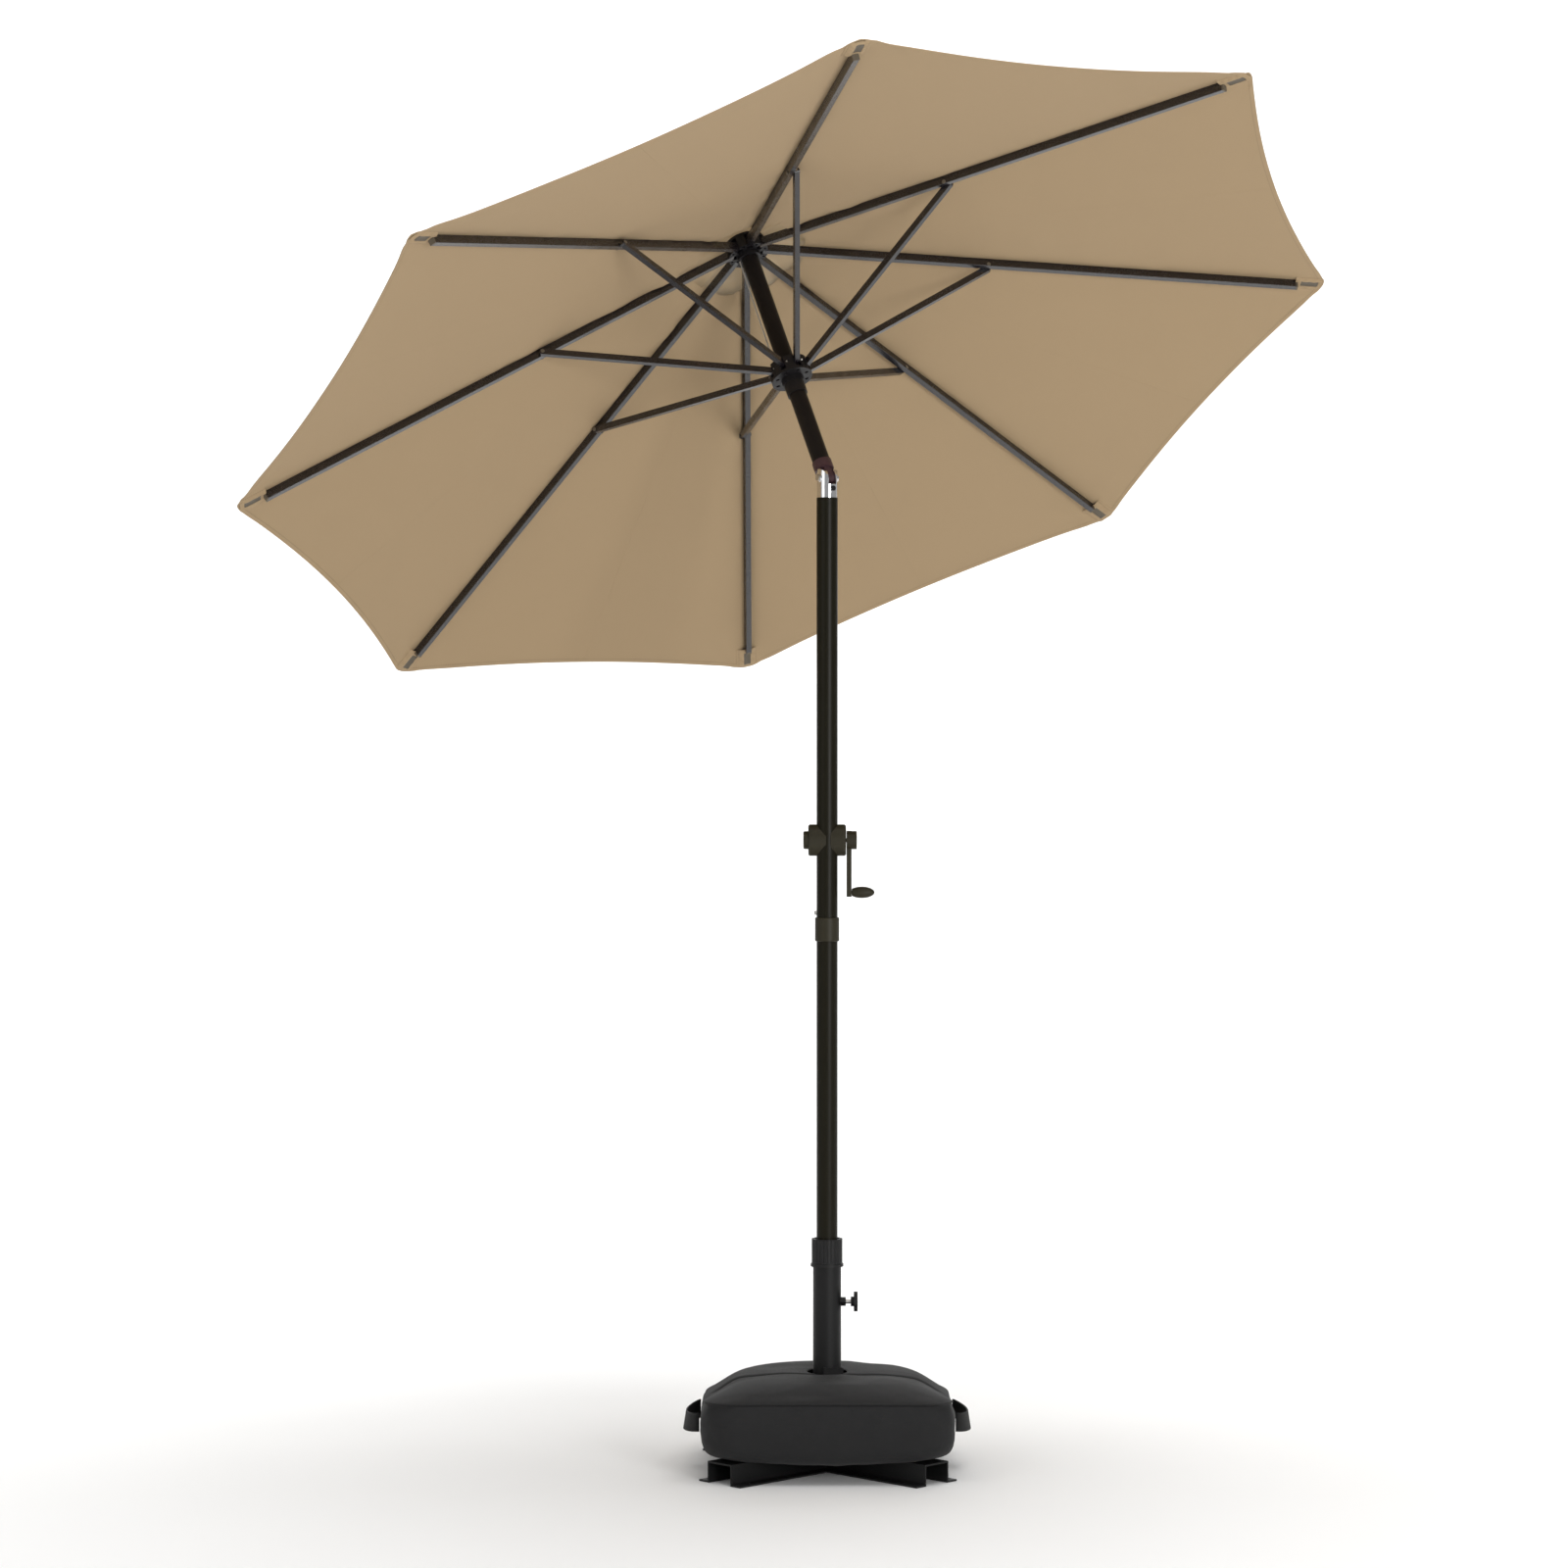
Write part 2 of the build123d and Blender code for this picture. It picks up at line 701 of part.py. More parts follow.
def cross_frame():
    """Two crossed hat-section bars with one anchor hole in each leg."""
    frame = Rot(0, 0, 45) * hat_bar() + Rot(0, 0, -45) * hat_bar()
    half = leg_top_width / 2 - steel
    tunnel = block(-leg_length - 1, leg_length + 1, -half, half, -1, leg_height - steel)
    frame = frame - Rot(0, 0, 45) * tunnel - Rot(0, 0, -45) * tunnel
    for side, turn in ((1, -45), (-1, -135), (-1, 45), (1, 135)):
        hole = along_z(anchor_hole_radius, -1, steel + 1, anchor_hole_along, -side * anchor_hole_across)
        frame -= Rot(0, 0, turn) * hole
    return frame


def nut_hexagon(start, end):
    section = Plane.YZ * RegularPolygon(nut_across / 2, 6, major_radius=False)
    return Pos(start, 0, clamp_height) * extrude(section, end - start)


def socket_tube():
    """Upright tube with the clamp screw's nut welded to its side."""
    body = tube(socket_radius, socket_wall, leg_height, socket_top)
    nut = nut_hexagon(socket_radius - socket_wall / 2, socket_radius + nut_length)
    nut -= along_z(socket_radius - socket_wall / 2, clamp_height - nut_across, clamp_height + nut_across)
    body += nut
    return body - along_x(stud_radius + pin_gap, 0, socket_radius + nut_length + 1, 0, clamp_height)


def socket_cap():
    """Fluted collar that grips the pole at the mouth of the tube."""
    body = along_z(cap_radius, cap_bottom, cap_top)
    flute_low = cap_bottom + cap_flute_start
    flute = along_z(cap_flute_depth * 2, flute_low, cap_top + 1, cap_radius + cap_flute_depth)
    for copy in around(flute, cap_flutes):
        body -= copy
    body += along_z(cap_bead_radius, cap_bottom, cap_bottom + cap_bead)
    body -= along_z(socket_radius + press_gap, cap_bottom - 1, socket_top + press_gap)
    body -= along_z(pole_radius + running_gap, cap_bottom, cap_top + 1)
    mouth = Cone(pole_radius + running_gap, cap_mouth_radius, cap_mouth_depth)
    return body - Pos(0, 0, cap_top - cap_mouth_depth / 2 + press_gap) * mouth


def clamp_stud():
    start = pole_radius + running_gap
    end = socket_radius + nut_length + knob_gap_from_nut + knob_socket
    return along_x(stud_radius, start, end, 0, clamp_height)


def clamp_knob():
    start = socket_radius + nut_length + knob_gap_from_nut
    middle = start + knob_hub
    end = middle + knob_disc
    knob = along_x(knob_hub_radius, start, middle, 0, 0) + along_x(knob_disc_radius, middle, end, 0, 0)
    notch = along_x(knob_notch_radius, middle, end + 1, 0, knob_disc_radius + knob_notch_out)
    for lobe in range(knob_lobes):
        knob -= Rot(360.0 / knob_lobes * lobe, 0, 0) * notch
    knob -= along_x(stud_radius + press_gap, start - 1, start + knob_socket + press_gap)
    return Pos(0, 0, clamp_height) * knob


def bag_section(level, inset):
    height, share, corner = level
    half = bag_half * share - inset
    section = RectangleRounded(2 * half, 2 * half, half * corner)
    middle = bag_levels[-1][0] / 2
    return Pos(0, 0, bag_rest + middle + (height - middle) * (1 - inset / middle)) * section


def bag_body(inset):
    return loft([bag_section(level, inset) for level in bag_levels], ruled=True)


def weight_bag():
    """Square bag with a crowned top, pierced for the upright tube."""
    top = bag_rest + bag_levels[-1][0]
    skin = bag_body(0) - bag_body(bag_cloth)
    sleeve = along_z(bag_hole + bag_cloth, bag_rest, top) & bag_body(0)
    return skin + sleeve - along_z(bag_hole, bag_rest - 1, top + 1)


def sand_fill():
    """Sand settled in the lower part of the bag."""
    top = bag_rest + fill_level
    clear = bag_cloth + running_gap
    fill = bag_body(clear) & block(-bag_half, bag_half, -bag_half, bag_half, 0, top)
    return fill - along_z(bag_hole + clear, bag_rest - 1, top + 1)


def bag_handle():
    """One webbing loop, standing on edge and leaning out from the side."""
    half = handle_span / 2
    path = Spline((0, -half), (handle_bow, 0), (0, half), tangents=((0.8, 1), (-0.8, 1)))
    outer = Spline(
        (handle_thickness, -half), (handle_bow + handle_thickness, 0), (handle_thickness, half),
        tangents=((0.8, 1), (-0.8, 1)))
    ends = [Line((0, -half), (handle_thickness, -half)), Line((0, half), (handle_thickness, half))]
    section = make_face(Wire(path.edges() + outer.edges() + ends[0].edges() + ends[1].edges()))
    strap = extrude(section, handle_tape / 2, both=True)
    reach = bag_half + running_gap
    return Pos(reach, 0, handle_height) * strap


# ---- assembly --------------------------------------------------------------
def assembly():
    parts = {
        "cross_frame": cross_frame(),
        "socket_tube": socket_tube(),
        "socket_cap": socket_cap(),
        "clamp_stud": clamp_stud(),
        "clamp_knob": clamp_knob(),
        "weight_bag": weight_bag(),
        "sand_fill": sand_fill(),
        "bag_handles": Compound(children=[bag_handle(), Rot(0, 0, 180) * bag_handle()]),
        "pole_foot": pole_foot(),
        "lower_pole": lower_pole(),
        "pole_coupler": Compound(children=[pole_coupler(), spigot()]),
        "upper_pole": upper_pole(),
        "snap_button": snap_button(),
        "crank_housing": Compound(children=[housing_left(), housing_right()]),
        "crank_arm": crank_arm(),
        "crank_grip": crank_grip(),
        "cord_spool": spool(),
        "tilt_knuckle": pivot_place * tilt_knuckle(),
        "tilt_button": pivot_place * tilt_button(),
        "tilt_collar": top_place * tilt_collar(),
        "upper_mast": top_place * upper_mast(),
        "crown_hub": top_place * crown_hub(),
        "mast_pins": Compound(children=[top_place * tilt_pin()] + [
            top_place * pin for pin in hinge_pins(crown_height, 0, rib_width / 2 + slot_clearance)]),
        "finial": top_place * finial(),
        "vent_canopy": top_place * Rot(0, 0, first_rib) * vent_cap(),
        "runner": top_place * runner(),
        "runner_pins": Compound(children=[
            top_place * pin
            for pin in hinge_pins(runner_height, strut_offset, strut_width / 2 + slot_clearance)]),
        "hoist_cord": hoist_cord(),
    }
    one_rib = rib()
    one_set = rib_fittings()
    one_strut = strut()
    one_gore = canopy_gore()
    for index in range(rib_count):
        place = rib_place(index)
        number = index + 1
        parts[f"rib_{number}"] = place * one_rib
        parts[f"rib_fittings_{number}"] = place * one_set
        parts[f"strut_{number}"] = strut_place(index) * one_strut
        parts[f"canopy_{number}"] = top_place * Rot(0, 0, first_rib + rib_step * index) * one_gore
    return parts


os.makedirs("parts", exist_ok=True)
for name, shape in assembly().items():
    export_step(shape, f"parts/{name}.step")
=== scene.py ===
import bmesh
import bpy
import json
from math import atan2, cos, exp, pi, radians, sin, sqrt, tan, tanh
from mathutils import Matrix, Vector, noise


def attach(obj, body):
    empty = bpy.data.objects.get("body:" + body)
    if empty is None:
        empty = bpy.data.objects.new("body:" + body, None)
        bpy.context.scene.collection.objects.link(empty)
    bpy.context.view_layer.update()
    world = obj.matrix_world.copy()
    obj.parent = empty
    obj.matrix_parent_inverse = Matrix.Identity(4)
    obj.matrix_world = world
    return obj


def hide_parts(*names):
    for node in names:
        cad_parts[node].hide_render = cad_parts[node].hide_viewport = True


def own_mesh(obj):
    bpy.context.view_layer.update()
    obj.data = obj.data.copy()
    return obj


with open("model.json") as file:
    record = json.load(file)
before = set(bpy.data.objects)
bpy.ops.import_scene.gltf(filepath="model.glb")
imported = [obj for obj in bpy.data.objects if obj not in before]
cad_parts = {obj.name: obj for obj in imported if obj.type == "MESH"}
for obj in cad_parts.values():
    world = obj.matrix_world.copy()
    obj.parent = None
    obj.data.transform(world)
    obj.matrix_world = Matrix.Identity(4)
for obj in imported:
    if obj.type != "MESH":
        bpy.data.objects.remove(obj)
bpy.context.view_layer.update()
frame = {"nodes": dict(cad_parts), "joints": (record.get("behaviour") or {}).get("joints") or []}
joints = {joint["name"]: joint for joint in frame["joints"]}
scene = bpy.context.scene
scene.view_settings.view_transform = "Standard"
ribCount = 8
goreTurn = 2 * pi / ribCount
print("frame loaded")


# One socket of a node, so that shader maths reads as an expression.
class Wire:
    def __init__(self, tree, socket):
        self.tree = tree
        self.socket = socket

    # the other value comes first in a reflected operator
    def maths(self, operation, *others, reflected=False):
        made = self.tree.nodes.new("ShaderNodeMath")
        made.operation = operation
        values = (*others, self) if reflected else (self, *others)
        for slot, value in zip(made.inputs, values):
            plug(self.tree, slot, value)
        return Wire(self.tree, made.outputs[0])

    def __add__(self, other):
        return self.maths("ADD", other)

    def __radd__(self, other):
        return self.maths("ADD", other, reflected=True)

    def __sub__(self, other):
        return self.maths("SUBTRACT", other)

    def __rsub__(self, other):
        return self.maths("SUBTRACT", other, reflected=True)

    def __mul__(self, other):
        return self.maths("MULTIPLY", other)

    def __rmul__(self, other):
        return self.maths("MULTIPLY", other, reflected=True)

    def __truediv__(self, other):
        return self.maths("DIVIDE", other)

    def __rtruediv__(self, other):
        return self.maths("DIVIDE", other, reflected=True)

    def __lt__(self, other):
        return self.maths("LESS_THAN", other)

    def __gt__(self, other):
        return self.maths("GREATER_THAN", other)


def plug(tree, slot, value):
    if isinstance(value, Wire):
        tree.links.new(value.socket, slot)
    else:
        slot.default_value = value


# A material with its Principled shader: constants by name, the rest by its methods.
class Finish:
    def __init__(self, name, **constants):
        self.material = bpy.data.materials.new(name)
        self.material.use_nodes = True
        self.tree = self.material.node_tree
        self.shader = self.tree.nodes["Principled BSDF"]
        for key, value in constants.items():
            self.shader.inputs[key.replace("_", " ")].default_value = value

    def node(self, kind, settings=None, values=None, out=0):
        made = self.tree.nodes.new(kind)
        for key, value in (settings or {}).items():
            if key == "stops":
                for element, (place, level) in zip(made.color_ramp.elements, value):
                    element.position = place
                    element.color = (level, level, level, 1)
            else:
                setattr(made, key, value)
        for key, value in (values or {}).items():
            plug(self.tree, made.inputs[key], value)
        return Wire(self.tree, made.outputs[out])

    def places(self):
        return self.node("ShaderNodeTexCoord", out="Object")

    # the two numbers of a map
    def pair(self, mapName):
        where = {"Vector": self.node("ShaderNodeUVMap", {"uv_map": mapName})}
        return [self.node("ShaderNodeSeparateXYZ", None, where, out=out) for out in (0, 1)]

    def noise(self, scale, detail=3.0, rough=0.5, stretch=None):
        where = self.places()
        if stretch:
            stretched = {0: where, 1: stretch}
            where = self.node("ShaderNodeVectorMath", {"operation": "MULTIPLY"}, stretched)
        values = {"Vector": where, "Scale": scale, "Detail": detail, "Roughness": rough}
        return self.node("ShaderNodeTexNoise", None, values)

    def mix(self, share, first, second):
        ends = {0: share, 6: first, 7: second}
        return self.node("ShaderNodeMix", {"data_type": "RGBA"}, ends, out=2)

    def colour(self, value):
        plug(self.tree, self.shader.inputs["Base Color"], value)

    def rough(self, value):
        plug(self.tree, self.shader.inputs["Roughness"], value)

    def bump(self, height, distance, strength):
        values = {"Height": height, "Distance": distance, "Strength": strength}
        raised = self.node("ShaderNodeBump", None, values)
        plug(self.tree, self.shader.inputs["Normal"], raised)


def shade(rgb, factor=1.0):
    return (rgb[0] * factor, rgb[1] * factor, rgb[2] * factor, 1.0)


# Painted and moulded finishes: colour, roughness, scale and depth of the grain, shine.
hardFinishes = {
    "ribPaint": ((0.0066, 0.0050, 0.0070), 0.27, 900, 0.00004, 0.95),
    "mastPaint": ((0.0068, 0.0052, 0.0052), 0.42, 900, 0.00006, 0.22),
    "polePaint": ((0.0095, 0.0082, 0.0036), 0.36, 700, 0.00007, 0.12),
    "crankPlastic": ((0.0250, 0.0215, 0.0115), 0.44, 420, 0.00012, 0.20),
    "hubPlastic": ((0.0080, 0.0072, 0.0080), 0.44, 420, 0.00012, 0.30),
    "collarPlastic": ((0.058, 0.028, 0.032), 0.40, 420, 0.00008, 0.30),
    "baseSteel": ((0.0085, 0.0085, 0.0087), 0.46, 600, 0.00010, 0.22),
    "basePlastic": ((0.0110, 0.0110, 0.0112), 0.48, 420, 0.00014, 0.24),
}

# What they share: broad clouds, and spots that are rubbed lighter.
wear = {
    "freshShade": 0.92,
    "cloudScale": 9.0,
    "cloudShare": 0.35,
    "cloudShade": 1.25,
    "cloudRough": 0.08,
    "rubScale": 46.0,
    "rubStops": [(0.60, 0.0), (0.78, 1.0)],
    "rubShare": 0.22,
    "rubShade": 1.9,
    "grainRough": 0.10,
    "grainStrength": 0.6,
}


def hardFinish(name):
    rgb, rough, grainScale, depth, shine = hardFinishes[name]
    finish = Finish(name, Specular_IOR_Level=shine)
    grain = finish.noise(grainScale, 4.0, 0.6)
    cloud = finish.noise(wear["cloudScale"], 2.0, 0.5)
    spots = {"Fac": finish.noise(wear["rubScale"], 5.0, 0.65)}
    rub = finish.node("ShaderNodeValToRGB", {"stops": wear["rubStops"]}, spots)
    fresh, rubbed = shade(rgb, wear["freshShade"]), shade(rgb, wear["rubShade"])
    worn = finish.mix(rub * wear["rubShare"], fresh, rubbed)
    finish.colour(finish.mix(cloud * wear["cloudShare"], worn, shade(rgb, wear["cloudShade"])))
    uneven = (cloud - 0.5) * wear["cloudRough"]
    finish.rough(rough + (grain - 0.5) * wear["grainRough"] + uneven)
    finish.bump(grain, depth, wear["grainStrength"])
    return finish.material


steelLook = {
    "dark": (0.42, 0.41, 0.39),
    "light": (0.60, 0.59, 0.57),
    "toneScale": 60.0,
    "brushScale": 700.0,
    "brushStretch": (1.0, 1.0, 0.08),
    "rough": 0.26,
    "brushRough": 0.16,
    "depth": 0.00003,
}


def brightSteel():
    look = steelLook
    finish = Finish("brightSteel", Metallic=1.0)
    brushed = finish.noise(look["brushScale"], 3.0, 0.6, stretch=look["brushStretch"])
    tone = finish.noise(look["toneScale"])
    finish.colour(finish.mix(tone, shade(look["dark"]), shade(look["light"])))
    finish.rough(look["rough"] + brushed * look["brushRough"])
    finish.bump(brushed, look["depth"], 0.5)
    return finish.material


platingLook = {
    "bright": (0.80, 0.80, 0.81),
    "dull": (0.62, 0.62, 0.64),
    "filmScale": 55.0,
    "filmShare": 0.3,
    "rough": 0.07,
    "filmRough": 0.07,
    "waveScale": 30.0,
    "depth": 0.0002,
}


def plating():
    look = platingLook
    finish = Finish("chromePlate", Metallic=1.0)
    film = finish.noise(look["filmScale"], 4.0, 0.6)
    finish.colour(finish.mix(film * look["filmShare"], shade(look["bright"]), shade(look["dull"])))
    finish.rough(look["rough"] + film * look["filmRough"])
    finish.bump(finish.noise(look["waveScale"], 2.0), look["depth"], 0.15)
    return finish.material


tipLook = {
    "dark": (0.098, 0.080, 0.056),
    "light": (0.135, 0.112, 0.082),
    "toneScale": 70.0,
    "grainScale": 520.0,
    "rough": 0.55,
    "grainRough": 0.15,
    "depth": 0.00012,
}


# Brown grey for the moulded tips, and for the rivets that share their nodes.
def tipPlastic(name, factor):
    look = tipLook
    finish = Finish(name, Specular_IOR_Level=0.4)
    grain = finish.noise(look["grainScale"], 4.0, 0.6)
    tones = shade(look["dark"], factor), shade(look["light"], factor)
    finish.colour(finish.mix(finish.noise(look["toneScale"]), *tones))
    finish.rough(look["rough"] + grain * look["grainRough"])
    finish.bump(grain, look["depth"], 0.6)
    return finish.material


# A weave of sines over the cloth's own map, in radians for each metre.
def weave(finish, threads):
    along, across = finish.pair("cloth")
    return (along * threads).maths("SINE") * (across * threads).maths("SINE") * 0.5 + 0.5


clothLook = {
    "rgb": (0.372, 0.270, 0.160),
    "pale": 1.035,
    "dull": 0.965,
    "cloudScale": 3.2,
    "cloudShare": 0.5,
    "fleckScale": 420.0,
    "threads": 2200.0,
    "threadShare": 0.10,
    "threadShade": 0.86,
    "rough": 0.82,
    "fleckRough": 0.10,
    "depth": 0.00012,
    "stitchGap": 0.0085,        # from the cloth's edge to the row of stitches
    "stitchHalf": 0.0006,
    "stitchPitch": 0.0042,
    "stitchLength": 0.66,       # share of the pitch
    "stitchShare": 0.55,
    "stitchShade": 0.45,
    "glowRadius": (0.97, 0.96, 0.90),
    "glowScale": 0.006,
}


# One row of stitches beside the cloth's edge.
def stitches(finish, look):
    gap, run = finish.pair("edge")
    away = (gap - look["stitchGap"]).maths("ABSOLUTE")
    beat = (run / look["stitchPitch"]).maths("FRACT")
    return (away < look["stitchHalf"]) * (beat < look["stitchLength"])


# The small cap over the vent is thin enough for the daylight above it to show through.
def canopyCloth(name, glow):
    look = clothLook
    finish = Finish(
        name, Sheen_Weight=0.03, Sheen_Roughness=0.5, Specular_IOR_Level=0.10,
        Subsurface_Weight=glow, Subsurface_Radius=look["glowRadius"],
        Subsurface_Scale=look["glowScale"])
    threads = weave(finish, look["threads"])
    cloud = finish.noise(look["cloudScale"], 4.0, 0.55)
    fleck = finish.noise(look["fleckScale"], 2.0, 0.6)
    dull, pale = shade(look["rgb"], look["dull"]), shade(look["rgb"], look["pale"])
    body = finish.mix(cloud * look["cloudShare"], dull, pale)
    crossed = threads * look["threadShare"] + fleck * look["threadShare"]
    body = finish.mix(crossed, body, shade(look["rgb"], look["threadShade"]))
    hem = stitches(finish, look)
    thread = shade(look["rgb"], look["stitchShade"])
    finish.colour(finish.mix(hem * look["stitchShare"], body, thread))
    finish.rough(look["rough"] + fleck * look["fleckRough"])
    finish.bump(threads - hem * 2.0, look["depth"], 0.5)
    return finish.material


bagLook = {
    "rgb": (0.0125, 0.0125, 0.0130),
    "dull": 0.85,
    "pale": 1.30,
    "cloudScale": 16.0,
    "cloudShare": 0.6,
    "dustScale": 150.0,
    "dustShare": 0.15,
    "threads": 1500.0,
    "threadShare": 0.35,
    "threadShade": 1.7,
    "rough": 0.66,
    "dustRough": 0.2,
    "depth": 0.00018,
    # half width of the dark seam lines, which are partly stitching and partly painted shade of the
    # creases
    "shadeLineHalf": 0.0010,
    "seamTop": 0.003,           # the cross seam starts this far above the upper edge's
    # painted shade of the seams' creases, with their stitching: its share and its tone
    "paintedSeamShare": 0.75,
    "paintedSeamTone": 0.25,
}


def bagCloth():
    look = bagLook
    finish = Finish("bagCloth", Sheen_Weight=0.04, Sheen_Roughness=0.5, Specular_IOR_Level=0.20)
    threads = weave(finish, look["threads"])
    cloud = finish.noise(look["cloudScale"], 4.0, 0.6)
    dust = finish.noise(look["dustScale"], 3.0, 0.7)
    dull, pale = shade(look["rgb"], look["dull"]), shade(look["rgb"], look["pale"])
    body = finish.mix(cloud * look["cloudShare"], dull, pale)
    crossed = threads * look["threadShare"] + dust * look["dustShare"]
    body = finish.mix(crossed, body, shade(look["rgb"], look["threadShade"]))
    # painted shade along the seam round the upper edge and the one across the top, told by their
    # distances: dark lines for their stitching and for the shade in their creases
    above, behind = finish.pair("edge")
    upperSeamShade = above.maths("ABSOLUTE") < look["shadeLineHalf"]
    crossSeam = (behind.maths("ABSOLUTE") < look["shadeLineHalf"]) * (above > look["seamTop"])
    paintedSeamShade = (upperSeamShade + crossSeam) * look["paintedSeamShare"]
    finish.colour(finish.mix(paintedSeamShade, body, shade(look["rgb"], look["paintedSeamTone"])))
    finish.rough(look["rough"] + dust * look["dustRough"])
    finish.bump(threads + cloud * 3.0, look["depth"], 0.6)
    return finish.material


webbingLook = {
    "dark": (0.004, 0.004, 0.004),
    "light": (0.014, 0.014, 0.0145),
    "threads": 2600.0,
    "threadShare": 0.5,
    "ridges": 3400.0,
    "ridgeShare": 0.2,
    "rough": 0.62,
    "threadRough": 0.15,
    "depth": 0.0003,
}


def webbing():
    look = webbingLook
    finish = Finish("webbing", Sheen_Weight=0.04, Specular_IOR_Level=0.2)
    threads = weave(finish, look["threads"])
    ridge = (finish.pair("cloth")[1] * look["ridges"]).maths("SINE")
    crossed = threads * look["threadShare"] + ridge * look["ridgeShare"]
    finish.colour(finish.mix(crossed, shade(look["dark"]), shade(look["light"])))
    finish.rough(look["rough"] + threads * look["threadRough"])
    finish.bump(threads + ridge, look["depth"], 0.7)
    return finish.material


cordLook = {
    "dark": (0.20, 0.18, 0.15),
    "light": (0.50, 0.47, 0.42),
    "braidScale": 260.0,
    "rough": 0.7,
    "braidRough": 0.15,
    "depth": 0.0003,
}


def cordYarn():
    look = cordLook
    finish = Finish("cordYarn", Sheen_Weight=0.3, Specular_IOR_Level=0.3)
    values = {"Vector": finish.places(), "Scale": look["braidScale"]}
    braid = finish.node("ShaderNodeTexWave", {"bands_direction": "DIAGONAL"}, values)
    finish.colour(finish.mix(braid, shade(look["dark"]), shade(look["light"])))
    finish.rough(look["rough"] + braid * look["braidRough"])
    finish.bump(braid, look["depth"], 0.7)
    return finish.material


finishes = {name: hardFinish(name) for name in hardFinishes}
for make in (brightSteel, plating, bagCloth, webbing, cordYarn):
    material = make()
    finishes[material.name] = material
for name, factor in (("tipPlastic", 1.0), ("tipFace", 0.85)):
    finishes[name] = tipPlastic(name, factor)
for name, glow in (("canopyCloth", 0.0), ("capCloth", 0.36)):
    finishes[name] = canopyCloth(name, glow)
print("finishes made")

# Finish of each carried-over piece.
nodeFinishes = {
    "cross_frame": "baseSteel", "socket_tube": "baseSteel", "socket_cap": "basePlastic",
    "clamp_stud": "brightSteel", "clamp_knob": "basePlastic", "pole_foot": "hubPlastic",
    "lower_pole": "polePaint", "pole_coupler": "crankPlastic", "upper_pole": "polePaint",
    "snap_button": "brightSteel", "crank_housing": "crankPlastic", "crank_arm": "crankPlastic",
    "crank_grip": "crankPlastic", "cord_spool": "hubPlastic", "tilt_knuckle": "chromePlate",
    "tilt_button": "hubPlastic", "tilt_collar": "collarPlastic", "upper_mast": "mastPaint",
    "crown_hub": "hubPlastic", "mast_pins": "brightSteel", "finial": "hubPlastic",
    "runner": "hubPlastic", "runner_pins": "brightSteel",
}
for index in range(1, ribCount + 1):
    nodeFinishes[f"rib_{index}"] = "ribPaint"
    nodeFinishes[f"strut_{index}"] = "ribPaint"
    nodeFinishes[f"rib_fittings_{index}"] = "tipPlastic"
for name, finishName in nodeFinishes.items():
    mesh = frame["nodes"][name].data
    mesh.materials.clear()
    mesh.materials.append(finishes[finishName])
print("carried-over pieces painted")


def placed(name, data):
    piece = bpy.data.objects.new(name, data)
    scene.collection.objects.link(piece)
    return piece


# Corners of a cell in order; a wrapped grid's last column meets its first.
def cellCorners(r, c, columns):
    after = (c + 1) % columns
    return [(r, c), (r, after), (r + 1, after), (r + 1, c)]


# The edges that only one cell has, each in the direction of its cell.
def borderEdges(cells, columns):
    borders = {}  # keeps its order
    for r, c in cells:
        corners = cellCorners(r, c, columns)
        for first, second in zip(corners, corners[1:] + corners[:1]):
            if (second, first) in borders:
                del borders[(second, first)]
            else:
                borders[(first, second)] = True
    return borders


# A thin closed sheet from two matching grids of points, with the cells that keep() allows.
def sheetMesh(name, outer, inner, finishName, uvs, keep=None, wrap=False, normals=None):
    rows, columns = len(outer), len(outer[0])
    build = bmesh.new()
    sides = [
        [[build.verts.new(point) for point in line] for line in grid] for grid in (outer, inner)]
    clothMap, edgeMap = [build.loops.layers.uv.new(key) for key in ("cloth", "edge")]
    place = {}
    for side, grid in enumerate(sides):
        for r, line in enumerate(grid):
            for c, vert in enumerate(line):
                place[vert] = (side, r, c)
    lastColumn = columns if wrap else columns - 1
    cells = {
        (r, c) for r in range(rows - 1) for c in range(lastColumn) if keep is None or keep(r, c)}
    for r, c in cells:
        corners = cellCorners(r, c, columns)
        build.faces.new([sides[0][a][b] for a, b in corners])
        build.faces.new([sides[1][a][b] for a, b in reversed(corners)])
    rims = set()
    for (a, b), (p, q) in borderEdges(cells, columns):
        corners = [sides[0][p][q], sides[0][a][b], sides[1][a][b], sides[1][p][q]]
        rims.add(build.faces.new(corners))
    # every face looks away from the cloth's middle
    outward = 0.0
    for face in build.faces:
        face.normal_update()
        side, r, c = place[face.verts[0]]
        if face not in rims and side == 0:
            outward += face.normal.dot(outer[r][c] - inner[r][c])
    if outward < 0:
        for face in build.faces:
            face.normal_flip()
    cornerNormals = []
    for face in build.faces:
        face.smooth = face not in rims
        for loop in face.loops:
            side, r, c = place[loop.vert]
            loop[clothMap].uv, loop[edgeMap].uv = uvs(r, c)
            if face in rims:
                cornerNormals.append(face.normal.copy())
            elif normals:
                cornerNormals.append(normals[r][c] if side == 0 else -normals[r][c])
    loose = [vert for vert in build.verts if not vert.link_faces]
    bmesh.ops.delete(build, geom=loose, context="VERTS")
    mesh = bpy.data.meshes.new(name)
    build.to_mesh(mesh)
    build.free()
    if normals:
        mesh.normals_split_custom_set(cornerNormals)
    mesh.materials.append(finishes[finishName])
    return placed(name, mesh)


# Starts the next row of each grid.
def newRow(*grids):
    for grid in grids:
        grid.append([])


def smooth(low, high, value):
    share = min(max((value - low) / (high - low), 0.0), 1.0)
    return share * share * (3 - 2 * share)


# Smooth noise between about -1 and 1.
def cloudAt(x, y, z):
    return noise.noise(Vector((x, y, z)))


# A bell that falls to a third at the given width.
def bell(away, width):
    return exp(-(away / width) ** 2)


